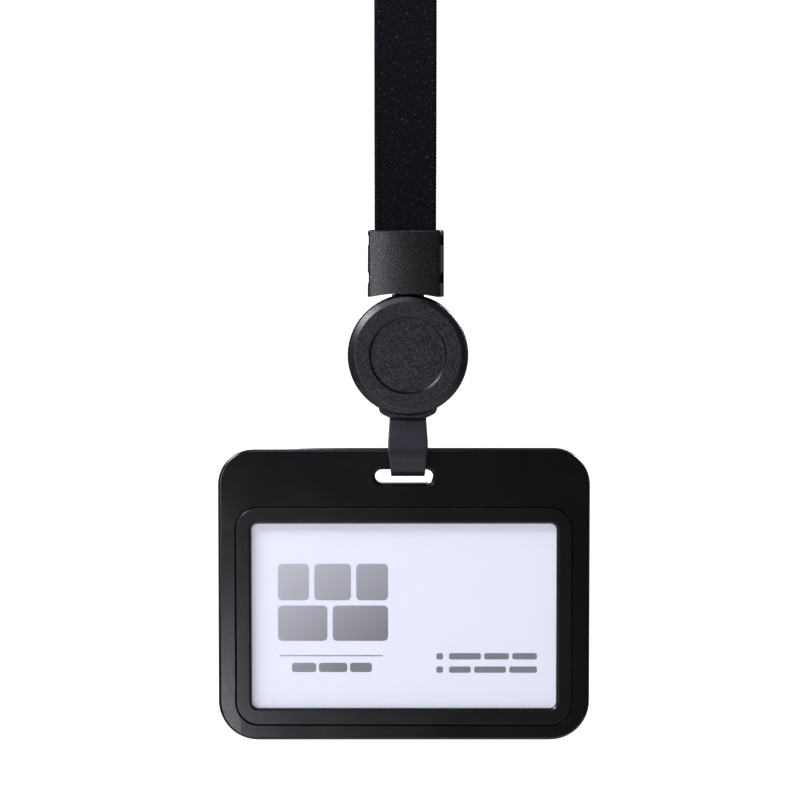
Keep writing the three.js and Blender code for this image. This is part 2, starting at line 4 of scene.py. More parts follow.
import bmesh
import bpy
import numpy as np
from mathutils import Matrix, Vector


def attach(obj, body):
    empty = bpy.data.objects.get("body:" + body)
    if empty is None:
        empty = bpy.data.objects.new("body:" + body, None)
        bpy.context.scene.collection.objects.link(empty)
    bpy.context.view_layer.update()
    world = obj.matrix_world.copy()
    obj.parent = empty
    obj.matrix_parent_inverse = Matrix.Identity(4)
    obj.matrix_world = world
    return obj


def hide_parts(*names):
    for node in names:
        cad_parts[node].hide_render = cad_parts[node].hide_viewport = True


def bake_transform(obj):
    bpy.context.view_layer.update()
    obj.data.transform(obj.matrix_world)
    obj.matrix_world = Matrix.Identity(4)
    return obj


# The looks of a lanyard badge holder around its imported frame. Sizes below are in millimetres, in
# the frame's axes: +X to the viewer's right, -Y towards the viewer, +Z up.

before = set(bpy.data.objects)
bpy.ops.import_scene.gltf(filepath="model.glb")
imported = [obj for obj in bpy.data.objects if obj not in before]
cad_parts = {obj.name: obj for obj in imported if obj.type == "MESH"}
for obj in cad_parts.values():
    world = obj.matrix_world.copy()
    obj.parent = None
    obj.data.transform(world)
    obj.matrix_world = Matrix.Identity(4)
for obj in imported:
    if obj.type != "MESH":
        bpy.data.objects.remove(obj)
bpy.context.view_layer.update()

MM = 0.001

# ---- camera and lights

# Lens and sensor in millimetres, the view's rise in degrees, the distance and clipping in metres.
CAMERA = Sizes(
    lens=120, sensor_width=36, clip=(0.05, 30), target=(-2.11, -3.0, -119.0), rise=3.5,
    distance=0.7066,
)
LIGHT_TARGET = (0, 0, -0.15)
LIGHT_COLOUR = (0.91, 0.905, 1.0)
# Name, place and size in metres, and watts: low boxes for the faces, high and rear ones for the edges.
LIGHTS = [
    ("left", (-0.47, -0.68, -0.11), (0.16, 0.30), 1.2),
    ("low_left", (-0.20, -0.76, -0.41), (0.14, 0.18), 1.05),
    ("upper_left", (-0.49, -0.32, 0.32), (0.26, 0.26), 4.2),
    ("upper_left_side", (-0.55, -0.06, 0.40), (0.25, 0.25), 3.0),
    ("upper_right", (0.50, 0.34, 0.28), (0.22, 0.22), 4.5),
    ("top", (-0.12, -0.46, 0.58), (0.2, 0.2), 0.9),
    ("left_edge", (-0.72, 0.10, -0.12), (0.30, 0.50), 0.3),
    ("right_edge", (0.74, 0.10, -0.10), (0.30, 0.50), 0.3),
    ("rear_left", (-0.25, 0.85, 0.09), (0.4, 0.4), 3.0),
    ("rear_right", (0.55, 0.75, 0.23), (0.3, 0.3), 1.6),
]
FLOOR = Sizes(radius=1500, top=-950)
SURROUND_RADIUS = 6  # metres

# ---- driving dimensions

PART_GAP = 0.1  # from a parting plane to each half's face

STRAP = Sizes(
    width=16.5, half_thick=0.43, tip=0.35, tip_half=0.42, turn_radius=9.0, centre_x=-0.7,
)
EDGE_ROLL = Sizes(start=1.65, width=1.26, height=0.06)
WEAVE = Sizes(edge_pitch=0.9, edge_wave=0.05, rib_pitch=0.55, rib=0.012)
# The upright half of the strap's route, from its end in the collar up to the turn: (y, z).
STRAP_ROUTE = [
    (-0.8, -80.0), (-0.8, -74.5), (-1.35, -70.0), (-3.0, -64.0), (-4.8, -57.5), (-6.3, -50.0),
    (-7.4, -42.0), (-8.2, -33.5), (-8.7, -25.0), (-8.95, -16.5), (-9.0, -8.5),
]
STRAP_TURN_STEPS = 8
STRAP_STEP = 0.3  # along the weave

COLLAR_TURN = radians(-8)
COLLAR = Sizes(
    width=19.6, depth=8.5, top=-74.0, bottom=-91.7, corner=0.85, top_edge=0.6, bottom_edge=0.18,
    bulge=0.75, hollow=0.9, centre_x=-0.6, parting=1.0,
)
POCKET = Sizes(half_width=8.65, half_depth=2.2, floor=-84.5)
CHAMBER = Sizes(half_width=3.4, half_depth=3.0, floor=-88.7)
LONG_SIDE_PIECES = 24
SNAP_WINDOWS = [(-78.1, -75.3), (-88.2, -85.2)]  # lowest and highest points
SNAP_WINDOW = Sizes(width=5.9, corner=0.45, centre_y=-0.45, floor=9.15)
TAB = Sizes(inner=8.8, outer=9.0, front=-2.0, back=1.7, clearance=0.5, room=0.15)
TOOTH = Sizes(half_width=7.5, near=1.65, far=2.7, half_height=0.3)
TEETH = [-76.6, -79.0, -81.4]

REEL = Sizes(
    radius=16.0, half_depth=4.75, centre_z=-107.1, face=14.1, rim_depth=1.6, recess=10.3,
    recess_depth=0.6, recess_slope=0.5, bore=14.7, bore_half=3.4, chin_half=2.6, chin_bottom=-16.7,
    chin_wide=7.8, chin_narrow=4.85, chin_shoulder=-15.3, seat_half=4.25,
)
REEL_AT = (0, 0, REEL.centre_z)
GATE_AT = (-1.15, 0, -114.4)
STEM_HOLE = 1.75
EYELET_HOLE = 1.75
CORD_RADIUS = 0.35
# The turns on the drum: each layer's radius, and where its turns lie along the axis.
WOUND_LAYERS = [(10.8, (-0.75, 0, 0.75)), (11.42, (-0.38, 0.38)), (12.04, (-0.75, 0, 0.75))]
WOUND_RADIUS = 0.36
# The cord's route from the drum through the eyelet to its anchor: (x, z).
CORD_ROUTE = [
    (7.0, -117.8), (4.4, -119.3), (2.0, -120.5), (0.55, -121.35), (0.05, -122.3), (0.0, -123.4),
    (0.0, -124.6), (0.0, -126.2),
]

FOLD = Sizes(thickness=1.15, radius=4.3, z=-134.05, seam=325)
HEAD_TOP = -123.86
# The hanger's half width down its leg: (z, half width).
HANGER_WIDTHS = [
    (HEAD_TOP, 4.85), (-127.0, 5.1), (-130.0, 5.3), (-132.3, 5.3), (-135.2, 4.95), (-137.6, 4.6),
    (-139.6, 4.5),
]
TAIL_HALF_WIDTH = 4.6
TAIL_ROUND_Z = -128.5
SNAP_Z = -127.6
HEAD_BACK = 1.9
TAIL_FACE = 3.0
TAIL_BACK = 4.15

CASE = Sizes(
    width=98.9, height=77.9, half_depth=3.1, top=-132.1, centre_x=-1.05, top_corner=9.5,
    bottom_corner=10.5, edge=0.9, header_end=-146.5,
)
CASE_CREASE = 35  # degrees: sharper edges are rounded, by CASE_EDGE or TRIM_EDGE
CASE_EDGE = 0.14
TRIM_EDGE = 0.1
SLOT = Sizes(width=15.5, height=3.9, top=-137.5, chamfer=0.7)
PANEL_Z = -176.75
# Width, height and corner radius, for these six.
GROOVE = (90.1, 58.8, 6.3)
BEZEL = (89.5, 58.2, 6.0)
OPENING = (81.2, 49.5, 1.7)
PANE = (81.0, 49.3, 1.6)
CARD_POCKET = (87.0, 55.2, 3.4)
CARD = (86.0, 54.0, 3.2)
CARD_FRONT = -1.0
CARD_THICK = 0.4
# The printed blocks: a row's lowest and highest point, and its spans of x.
PRINT_ROWS = [
    (-172.7, -162.9, [(-34.7, -26.4), (-25.0, -15.2), (-13.8, -5.3)]),
    (-183.6, -174.1, [(-34.7, -21.5), (-20.1, -5.3)]),
    (-187.75, -187.45, [(-34.2, -6.7)]),
    (-192.0, -189.5, [(-31.0, -24.5), (-23.8, -16.2), (-15.5, -9.6)]),
    (-188.6, -186.9, [(7.6, 9.4), (11.0, 19.5), (20.4, 27.0), (27.9, 34.5)]),
    (-192.2, -190.5, [(7.6, 9.4), (11.0, 16.8), (17.7, 26.2), (27.1, 34.5)]),
]
PRINT_THICK = 0.015
PRINT_SHADE = (-0.035, -0.005, -0.184, -0.162)  # metres: left, right, lowest, highest
BEZEL_BACK = -1.7
BEZEL_EDGE = 0.35
BEZEL_SLOPE = 0.55
WINDOW = Sizes(back=-1.2, ledge=-1.6, front=-2.6, slope=0.4)
LEDGE = -1.1
CHANNEL = (1.35, 2.35)
COVER = Sizes(left=-46.5, right=48.6, half_height=30.0, step=1.5, back=3.0, play=0.15)
GRIP = Sizes(gaps=6, pitch=2.6, width=1.3, length=22.0, depth=0.4, centre_x=40.0)

# ---- meshes


def added(name, data):
    """A new object in the scene for that mesh, light or camera."""
    thing = bpy.data.objects.new(name, data)
    bpy.context.collection.objects.link(thing)
    return thing


def piece_from(name, points, faces):
    mesh = bpy.data.meshes.new(name)
    mesh.from_pydata([tuple(MM * c for c in p) for p in points], [], faces)
    return added(name, mesh)


def skin(name, rings, caps=True, wrap=False, texture=None):
    """A closed surface over rings of points. Texture names a UV map in metres, across and along."""
    rings = np.asarray(rings, float)
    count, around = rings.shape[:2]
    faces, spots = [], []
    for i in range(count if wrap else count - 1):
        for j in range(around):
            following = (j + 1) % around
            here, above = i * around, (i + 1) % count * around
            faces.append((here + j, here + following, above + following, above + j))
            spots.append(((j, i), (j + 1, i), (j + 1, i + 1), (j, i + 1)))
    if caps:
        faces.append(tuple(reversed(range(around))))
        faces.append(tuple((count - 1) * around + j for j in range(around)))
        spots += [((j, 0),) * around for j in (0, around)]
    piece = piece_from(name, rings.reshape(-1, 3), faces)
    if texture:
        first = np.vstack([rings[0], rings[0][:1]])
        centres = rings.mean(axis=1)
        centres = np.vstack([centres, centres[:1]])
        across = lengths_along(first) * MM
        along = lengths_along(centres) * MM
        layer = piece.data.uv_layers.new(name=texture)
        flat = [(across[j], along[i]) for corner in spots for j, i in corner]
        layer.data.foreach_set("uv", np.array(flat).ravel())
    face_out(piece)
    return piece


def lengths_along(points):
    steps = np.linalg.norm(np.diff(points, axis=0), axis=1)
    return np.concatenate([[0], np.cumsum(steps)])


def face_out(piece):
    work = bmesh.new()
    work.from_mesh(piece.data)
    bmesh.ops.recalc_face_normals(work, faces=work.faces)
    work.to_mesh(piece.data)
    work.free()


def settle(piece):
    """Applies the piece's modifiers to its mesh."""
    graph = bpy.context.evaluated_depsgraph_get()
    old = piece.data
    piece.data = bpy.data.meshes.new_from_object(piece.evaluated_get(graph))
    piece.modifiers.clear()
    bpy.data.meshes.remove(old)


def combine(piece, operation, *others):
    for other in others:
        modifier = piece.modifiers.new("combine", "BOOLEAN")
        modifier.operation = operation
        modifier.object = other
        modifier.solver = "EXACT"
        settle(piece)
        bpy.data.objects.remove(other)
    return piece


def cut(piece, *others):
    return combine(piece, "DIFFERENCE", *others)


def join(piece, *others):
    return combine(piece, "UNION", *others)


def ease(piece, width, steps=2, angle=40):
    """Rounds the edges that are sharper than the angle."""
    bevel = piece.modifiers.new("ease", "BEVEL")
    bevel.width = width * MM
    bevel.segments = steps
    bevel.limit_method = "ANGLE"
    bevel.angle_limit = radians(angle)
    bevel.use_clamp_overlap = True
    settle(piece)
    return piece


def merged(name, parts):
    """One piece from several, which it uses up."""
    work = bmesh.new()
    for part in parts:
        work.from_mesh(part.data)
        bpy.data.objects.remove(part)
    mesh = bpy.data.meshes.new(name)
    work.to_mesh(mesh)
    work.free()
    return added(name, mesh)


def dress(piece, material, body, slot, *nodes, sharp=30):
    """The piece's shading, material and body, and the CAD nodes that it stands for. The slot is not used.
    """
    piece.data.materials.clear()
    piece.data.materials.append(material)
    piece.data.polygons.foreach_set("use_smooth", [True] * len(piece.data.polygons))
    piece.data.set_sharp_from_angle(angle=radians(sharp))
    weighted = piece.modifiers.new("normals", "WEIGHTED_NORMAL")
    weighted.keep_sharp = True
    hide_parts(*nodes)
    if body:
        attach(piece, body)
    return piece


# ---- outlines


def unit(vector):
    return vector / np.linalg.norm(vector)


def side_of(line, i):
    """The direction square to a flat line at its point i."""
    ahead = unit(line[min(i + 1, len(line) - 1)] - line[max(i - 1, 0)])
    return np.array([-ahead[1], ahead[0]])


def filleted(corners, closed=True, step=7.5):
    """An outline through corners (u, v, radius), with arcs of about that many degrees a step."""
    points = [np.array(c[:2], float) for c in corners]
    outline = []
    for i, (*_, radius) in enumerate(corners):
        here = points[i]
        if radius == 0 or (not closed and i in (0, len(corners) - 1)):
            outline.append(here)
            continue
        to_last = unit(points[i - 1] - here)
        to_next = unit(points[(i + 1) % len(points)] - here)
        half = acos(np.clip(to_last @ to_next, -1, 1)) / 2
        centre = here + unit(to_last + to_next) * radius / sin(half)
        first = here + to_last * radius / tan(half) - centre
        last = here + to_next * radius / tan(half) - centre
        turn = atan2(first[0] * last[1] - first[1] * last[0], first @ last)
        count = max(2, round(degrees(abs(turn)) / step))
        for k in range(count + 1):
            a = turn * k / count
            c, s = cos(a), sin(a)
            outline.append(centre + (first[0] * c - first[1] * s, first[0] * s + first[1] * c))
    return np.array(outline)


def rounded_rect(width, height, corner, x=0.0, z=0.0, low_corner=None):
    low = corner if low_corner is None else low_corner
    w, h = width / 2, height / 2
    upper = [(x + w, z + h, corner), (x - w, z + h, corner)]
    return filleted([*upper, (x - w, z - h, low), (x + w, z - h, low)])


def box_outline(left, right, low, high):
    return np.array([(left, low), (right, low), (right, high), (left, high)], float)


def offset(outline, inset):
    """The closed outline moved inwards; a negative inset moves it outwards."""
    before = np.roll(outline, 1, axis=0) - outline
    after = np.roll(outline, -1, axis=0) - outline
    before /= np.linalg.norm(before, axis=1)[:, None]
    after /= np.linalg.norm(after, axis=1)[:, None]
    tangent = after - before
    tangent /= np.linalg.norm(tangent, axis=1)[:, None]
    normal = np.stack([-tangent[:, 1], tangent[:, 0]], axis=1)
    following = np.roll(outline, -1, axis=0)
    area = np.sum(outline[:, 0] * following[:, 1] - following[:, 0] * outline[:, 1])
    square = np.stack([-after[:, 1], after[:, 0]], axis=1)
    cosine = np.maximum(np.abs(np.sum(normal * square, axis=1)), 0.3)
    return outline + copysign(1, area) * normal * (inset / cosine)[:, None]


def standing(outline, y):
    """A ring of the outline's (x, z) points at one depth."""
    return [(u, y, v) for u, v in outline]


def prism(name, outline, levels):
    """The outline made solid along Y, through levels of (y, inset)."""
    return skin(name, [standing(offset(outline, inset), y) for y, inset in levels])


def soft_edge(y, edge, steps=6):
    """Levels that round an edge, from its face at y inwards. A negative edge rounds towards -Y."""
    size = abs(edge)
    levels = []
    for k in range(steps + 1):
        a = pi / 2 * k / steps
        levels.append((y + copysign(size * (1 - cos(a)), edge), size * (1 - sin(a))))
    return levels


def slab(name, outline, front, back, edge):
    """A plate with round edges on both faces."""
    return prism(name, outline, soft_edge(front, edge) + soft_edge(back, -edge)[::-1])


def brick(name, x, y, z):
    return prism(name, box_outline(x[0], x[1], z[0], z[1]), [(y[0], 0), (y[1], 0)])


def lathe(name, profile, segments=96, upright=False, at=(0, 0, 0), closed=False):
    """A (radius, height) profile turned about Y, or about Z if upright. Closed makes a ring."""
    rings = []
    for radius, height in profile:
        ring = []
        for k in range(segments):
            a = 2 * pi * k / segments
            u, v = radius * cos(a), radius * sin(a)
            x, y, z = (u, v, height) if upright else (u, height, v)
            ring.append((at[0] + x, at[1] + y, at[2] + z))
        rings.append(ring)
    return skin(name, rings, caps=not closed, wrap=closed)


def rod(name, radius, low, high, segments=64, **place):
    return lathe(name, [(radius, low), (radius, high)], segments, **place)


def turned(name, corners, segments=96, closed=False, step=15, **place):
    """A lathe piece from corners (radius, height, rounding). Open ones start and end on the axis."""
    profile = filleted(corners, closed, step)
    return lathe(name, profile if closed else profile[1:-1], segments, closed=closed, **place)


def curve_through(points, per_span=8):
    """Catmull-Rom points through the given ones."""
    points = np.asarray(points, float)
    ends = np.vstack([2 * points[0] - points[1], points, 2 * points[-1] - points[-2]])
    out = []
    for i in range(len(points) - 1):
        a, b, c, d = ends[i : i + 4]
        for k in range(per_span):
            t = k / per_span
            bend = (2 * a - 5 * b + 4 * c - d) * t * t + (3 * b - a - 3 * c + d) * t**3
            out.append(0.5 * (2 * b + (c - a) * t + bend))
    return np.array([*out, points[-1]])


def evenly(points, step):
    """The same line with points at an even distance."""
    along = lengths_along(points)
    count = max(2, round(along[-1] / step))
    at = np.linspace(0, along[-1], count + 1)
    return np.stack([np.interp(at, along, points[:, k]) for k in range(points.shape[1])], axis=1)


# ---- materials


class Recipe:
    """A material being made: its nodes, and short ways to add more.

    A value is a number, a vector, a colour without its alpha, or the socket of another node.
    """

    def __init__(self, name):
        self.material = bpy.data.materials.new(name)
        self.material.use_nodes = True
        self.nodes = self.material.node_tree.nodes
        self.shader = self.nodes["Principled BSDF"]
        self.places = self.node("TexCoord").outputs
        self.space = self.places["Object"]

    def put(self, socket, value):
        if isinstance(value, bpy.types.NodeSocket):
            self.material.node_tree.links.new(value, socket)
        else:
            socket.default_value = (*value, 1) if socket.type == "RGBA" else value

    def node(self, kind, **inputs):
        node = self.nodes.new("ShaderNode" + kind)
        for name, value in inputs.items():
            self.put(node.inputs[name], value)
        return node

    def set(self, **values):
        """Gives the shader's own sockets their values, and returns the material."""
        for name, value in values.items():
            self.put(self.shader.inputs[name.replace("_", " ")], value)
        return self.material

    def noise(self, scale, detail=2.0, space=None, roughness=0.5):
        node = self.node("TexNoise", Vector=space or self.space, Scale=scale)
        node.inputs["Detail"].default_value = detail
        node.inputs["Roughness"].default_value = roughness
        return node.outputs["Fac"]

    def placed(self, space=None, **where):
        """Coordinates that are scaled, turned or moved by Scale, Rotation and Location."""
        return self.node("Mapping", Vector=space or self.space, **where).outputs["Vector"]

    def parts(self, source):
        """The X, Y and Z of a vector."""
        return self.node("SeparateXYZ", Vector=source).outputs

    def wave(self, scale, space, direction="X", kind="BANDS", distortion=0.0):
        node = self.node("TexWave", Vector=space, Scale=scale, Distortion=distortion)
        node.wave_type = kind
        node.bands_direction = direction
        node.rings_direction = direction
        return node.outputs["Fac"]

    def math(self, operation, *values):
        node = self.node("Math")
        node.operation = operation
        for socket, value in zip(node.inputs, values):
            self.put(socket, value)
        return node.outputs[0]

    def total(self, *shares):
        """The sum of (source, weight) shares."""
        parts = [self.math("MULTIPLY", source, weight) for source, weight in shares]
        whole = parts[0]
        for part in parts[1:]:
            whole = self.math("ADD", whole, part)
        return whole

    def ramp(self, source, *stops):
        """Stops of (position, grey or colour)."""
        node = self.node("ValToRGB", Fac=source)
        elements = node.color_ramp.elements
        while len(elements) < len(stops):
            elements.new(0.5)
        for element, (position, colour) in zip(elements, stops):
            element.position = position
            element.color = (*colour, 1) if isinstance(colour, tuple) else (colour, colour, colour, 1)
        return node.outputs["Color"]

    def mix(self, share, a, b):
        node = self.node("Mix")
        node.data_type = "RGBA"
        for name, value in (("Factor", share), ("A", a), ("B", b)):
            self.put(node.inputs[name], value)
        return node.outputs["Result"]

    def bump(self, height, distance, under=None):
        """Relief of that depth in metres, laid over another if one is given."""
        node = self.node("Bump", Height=height, Distance=distance, Strength=1.0)
        if under:
            self.put(node.inputs["Normal"], under)
        return node.outputs["Normal"]


def moulded(name, dark, light, rough, grain, depth):
    """Moulded plastic: spark-eroded grain on the broad faces, which also breaks up their colour. The sloped
    walls and rims keep the darkest colour: their smooth unpitted finish, with painted shade on the recess
    wall and the rim.
    """
    mat = Recipe(name)
    facing = mat.math("ABSOLUTE", mat.parts(mat.places["Normal"])["Y"])
    broad = mat.ramp(facing, (0.8, 0.0), (0.94, 1.0))
    pits = mat.noise(grain, 1.5, roughness=0.6)
    tone = mat.total((pits, 0.93), (mat.noise(90, 3), 0.07))
    polish = mat.total((pits, 0.75), (mat.noise(110, 2), 0.25))
    fine = mat.bump(mat.noise(3.1 * grain, 1.5), 0.3 * depth)
    return mat.set(
        # Off the broad faces the colour stays dark: partly the smooth finish, partly painted shade on the
        # sloped walls and rims.
        Base_Color=mat.mix(broad, dark, mat.ramp(tone, (0.46, dark), (0.55, light))),
        Roughness=mat.ramp(polish, (0.42, rough[1]), (0.6, rough[0])),
        Normal=mat.bump(mat.mix(broad, (0.5, 0.5, 0.5), pits), depth, under=fine),
    )


def side_fall(mat):
    """A height that falls off outwards over the case's side bars, below the header."""
    place = mat.parts(mat.space)
    half, header = MM * CASE.width / 2, MM * CASE.header_end
    out = mat.math("ABSOLUTE", mat.math("SUBTRACT", place["X"], MM * CASE.centre_x))
    down = mat.math("SUBTRACT", header, place["Z"])
    fall = mat.ramp(mat.math("DIVIDE", out, half), (0.88, 1.0), (1.0, 0.0))
    below = mat.ramp(mat.math("DIVIDE", down, half), (0.0, 0.0), (0.14, 1.0))
    return mat.mix(below, (1, 1, 1), fall)


def satin(name, dark, light, rough, sag=0.0):
    """Satin case plastic: a soft ripple, hairline scratches and a few patches of dust.

    The side bars below the header may fall off outwards by that many metres.
    """
    mat = Recipe(name)
    colour = mat.ramp(mat.noise(60, 3), (0.3, dark), (0.7, light))
    specks = mat.ramp(mat.noise(2300, 1), (0.68, 0.0), (0.74, 1.0))
    patches = mat.ramp(mat.noise(30, 1), (0.52, 0.0), (0.64, 0.5))
    lines = [mat.placed(Scale=(1, 1, 0.02), Rotation=(0, turn, 0)) for turn in (0.5, 1.35, -0.7)]
    streaks = [mat.ramp(mat.noise(5200, 1, line), (0.74, 0.0), (0.79, 1.0)) for line in lines]
    scratches = mat.math("MAXIMUM", mat.math("MAXIMUM", *streaks[:2]), streaks[2])
    smudge = mat.ramp(mat.noise(70, 5, roughness=0.6), (0.3, rough[0]), (0.7, rough[1]))
    relief = mat.bump(mat.noise(420, 2), 0.00001)
    if sag:
        relief = mat.bump(side_fall(mat), sag, under=relief)
    return mat.set(
        Base_Color=mat.mix(mat.math("MULTIPLY", specks, patches), colour, (0.03, 0.03, 0.034)),
        Roughness=mat.mix(mat.math("MULTIPLY", scratches, 0.04), smudge, (0.55, 0.55, 0.55)),
        Normal=mat.bump(mat.noise(5200, 2), 0.000003, under=relief),
    )


def woven():
    """Black twill: diagonal yarns over a fine cross rib, with a trace of sheen and a few pale fibres."""
    mat = Recipe("webbing_twill")
    chart = mat.node("UVMap")
    chart.uv_map = "weave"
    cloth = chart.outputs["UV"]
    slants = [mat.placed(cloth, Rotation=(0, 0, radians(turn))) for turn in (34, -52)]
    twill = mat.wave(620, slants[0], distortion=1.2)
    rib = mat.wave(560, slants[1], distortion=1.0)
    fibre = mat.noise(2100, 2, mat.placed(cloth, Scale=(1, 0.6, 1)), 0.7)
    relief = mat.total((twill, 0.22), (rib, 0.16), (fibre, 0.62))
    colour = mat.ramp(relief, (0.4, (0.0002, 0.0002, 0.0006)), (0.62, (0.0058, 0.0056, 0.0098)))
    lint = mat.ramp(mat.noise(1500, 0, cloth), (0.72, 0.0), (0.8, 1.0))
    return mat.set(
        Base_Color=mat.mix(mat.math("MULTIPLY", lint, 0.8), colour, (0.055, 0.055, 0.06)),
        Roughness=mat.ramp(relief, (0.1, 0.85), (0.9, 0.66)),
        Normal=mat.bump(relief, 0.00008),
        Sheen_Weight=0.01,
        Sheen_Roughness=0.4,
        Specular_IOR_Level=0.08,
    )


def braided():
    """Thin nylon cord: two sets of crossing strands round it."""
    mat = Recipe("cord_braid")
    slants = [mat.placed(Rotation=(0, radians(turn), 0)) for turn in (35, -35)]
    braid = mat.math("MAXIMUM", *[mat.wave(1100, slant, "Z", distortion=0.8) for slant in slants])
    return mat.set(
        Base_Color=mat.ramp(braid, (0.3, 0.004), (0.95, 0.02)),
        Roughness=mat.ramp(mat.noise(4000, 2), (0.3, 0.6), (0.7, 0.8)),
        Normal=mat.bump(braid, 0.00006),
    )


def soft_plastic():
    """Flexible strap plastic: smooth and blue-grey, with a faint flow pattern and a painted highlight along
    its sharp edges.
    """
    mat = Recipe("soft_strap")
    flow = mat.noise(260, 4, mat.placed(Scale=(1, 1, 0.35)))
    colour = mat.ramp(flow, (0.3, (0.0095, 0.011, 0.0155)), (0.7, (0.0145, 0.0165, 0.022)))
    # Painted highlight: the colour turns paler where the surface is pointy, along the strap's sharp edges.
    edges = mat.ramp(mat.node("NewGeometry").outputs["Pointiness"], (0.51, 0.0), (0.6, 1.0))
    ripple = mat.bump(flow, 0.00002)
    return mat.set(
        Base_Color=mat.mix(mat.math("MULTIPLY", edges, 0.3), colour, (0.06, 0.065, 0.075)),
        Roughness=mat.ramp(mat.noise(500, 4), (0.3, 0.34), (0.7, 0.46)),
        Normal=mat.bump(mat.noise(6000, 2), 0.000006, under=ripple),
        Specular_IOR_Level=0.45,
    )


def clear_pane():
    """A clear thin pane: it lets the card through, with a faint mirror and hairline scratches."""
    mat = Recipe("clear_pane")
    mat.nodes.remove(mat.shader)
    streak = mat.noise(1400, 1, mat.placed(Scale=(1, 1, 0.02), Rotation=(0, 0.9, 0)))
    polish = mat.ramp(streak, (0.66, 0.05), (0.74, 0.22))
    slant = mat.node("LayerWeight").outputs["Facing"]
    gloss = mat.ramp(slant, (0.0, 0.035), (0.5, 0.05), (0.8, 0.2), (1.0, 0.9))
    through = mat.node("BsdfTransparent", Color=(0.985, 0.988, 0.992))
    mirror = mat.node("BsdfGlossy", Color=(1, 1, 1), Roughness=polish)
    mixed = mat.node("MixShader", Fac=gloss)
    mat.put(mixed.inputs[1], through.outputs["BSDF"])
    mat.put(mixed.inputs[2], mirror.outputs["BSDF"])
    mat.put(mat.nodes["Material Output"].inputs["Surface"], mixed.outputs["Shader"])
    return mat.material


def paper():
    """White card stock with painted light: it glows a little so that it stays white among black plastic."""
    mat = Recipe("card_paper")
    pulp = mat.noise(1500, 5, roughness=0.7)
    return mat.set(
        Base_Color=mat.ramp(pulp, (0.3, (0.80, 0.82, 0.90)), (0.7, (0.86, 0.88, 0.96))),
        Roughness=0.6,
        Normal=mat.bump(mat.noise(6000, 2), 0.000012),
        # Painted light: the card gives off a little light of its own.
        Emission_Color=(0.87, 0.89, 0.96),
        Emission_Strength=0.3,
    )


def ink(left, right, low, high):
    """Grey print that darkens from the upper left of those limits, in metres, to the lower right."""
    mat = Recipe("card_ink")
    place = mat.parts(mat.space)
    across = mat.math("DIVIDE", mat.math("SUBTRACT", place["X"], left), right - left)
    down = mat.math("DIVIDE", mat.math("SUBTRACT", high, place["Z"]), high - low)
    grey = mat.total((across, 0.5), (down, 0.5), (mat.noise(5000, 2), 0.08))
    return mat.set(
        Base_Color=mat.ramp(grey, (0.0, (0.78, 0.78, 0.8)), (1.0, (0.3, 0.3, 0.32))),
        Roughness=0.55,
    )


def metal(name, centre, dark=(0.42, 0.42, 0.43), light=(0.62, 0.62, 0.63), axis="Y"):
    """Bright nickel with fine turning lines round the axis through the centre, in millimetres."""
    mat = Recipe(name)
    rings = mat.placed(Location=tuple(-MM * c for c in centre))
    lines = mat.wave(1500, rings, axis, "RINGS", 0.5)
    tarnish = mat.noise(300, 4, roughness=0.6)
    wear = mat.total((lines, 0.3), (tarnish, 1.0))
    return mat.set(
        Base_Color=mat.ramp(tarnish, (0.35, dark), (0.65, light)),
        Roughness=mat.ramp(wear, (0.3, 0.2), (0.9, 0.38)),
        Normal=mat.bump(lines, 0.000004),
        Metallic=1.0,
    )


def plain(name, colour, glow):
    """Matt paint for the floor and the surround."""
    mat = Recipe(name)
    shade = tuple(0.97 * c for c in colour)
    return mat.set(
        Base_Color=mat.ramp(mat.noise(2, 2), (0.3, shade), (0.7, colour)),
        Roughness=0.9,
        Emission_Color=(1, 1, 1),
        Emission_Strength=glow,
    )


# ---- camera, lights and stage


def aim(thing, target):
    """Turns a camera or light towards the target."""
    thing.rotation_euler = (Vector(target) - thing.location).to_track_quat("-Z", "Y").to_euler()


def area_light(name, place, size, power):
    data = bpy.data.lights.new(name, "AREA")
    data.shape = "RECTANGLE"
    data.size, data.size_y = size
    data.energy = power
    data.color = LIGHT_COLOUR
    lamp = added(name, data)
    lamp.location = place
    lamp.visible_camera = False
    aim(lamp, LIGHT_TARGET)


def camera():
    data = bpy.data.cameras.new("camera")
    data.lens = CAMERA.lens
    data.sensor_width = CAMERA.sensor_width
    data.clip_start, data.clip_end = CAMERA.clip
    shot = added("camera", data)
    target = Vector(CAMERA.target) * MM
    rise = radians(CAMERA.rise)
    shot.location = target + CAMERA.distance * Vector((0, -cos(rise), sin(rise)))
    aim(shot, target)
    bpy.context.scene.camera = shot


def stage():
    """A pale floor below the full reach of the cord, and a white surround that lights nothing."""
    profile = [(FLOOR.radius, FLOOR.top - 1), (FLOOR.radius, FLOOR.top)]
    floor = lathe("floor", profile, 128, upright=True)
    floor.data.materials.append(plain("floor_paint", (0.8, 0.8, 0.81), 0.3))
    bpy.ops.mesh.primitive_uv_sphere_add(segments=64, ring_count=32, radius=SURROUND_RADIUS)
    surround = bpy.context.object
    surround.name = "surround"
    surround.data.materials.append(plain("surround_paint", (0.9, 0.9, 0.9), 1.2))
    for ray in ("diffuse", "glossy", "transmission", "shadow"):
        setattr(surround, "visible_" + ray, False)


def lights():
    for row in LIGHTS:
        area_light(*row)
    world = bpy.data.worlds.new("world")
    bpy.context.scene.world = world
    world.use_nodes = True
    background = world.node_tree.nodes["Background"]
    background.inputs["Color"].default_value = (0.9, 0.93, 1.0, 1)
    background.inputs["Strength"].default_value = 0.09
    bpy.context.scene.view_settings.view_transform = "Standard"


# ---- strap


def strap_route():
    route = list(STRAP_ROUTE)
    radius, centre_z = STRAP.turn_radius, STRAP_ROUTE[-1][1]
    for i in range(1, STRAP_TURN_STEPS):
        a = pi * (1 - i / STRAP_TURN_STEPS)
        route.append((radius * cos(a), centre_z + radius * sin(a)))
    return route + [(-y, z) for y, z in reversed(STRAP_ROUTE)]


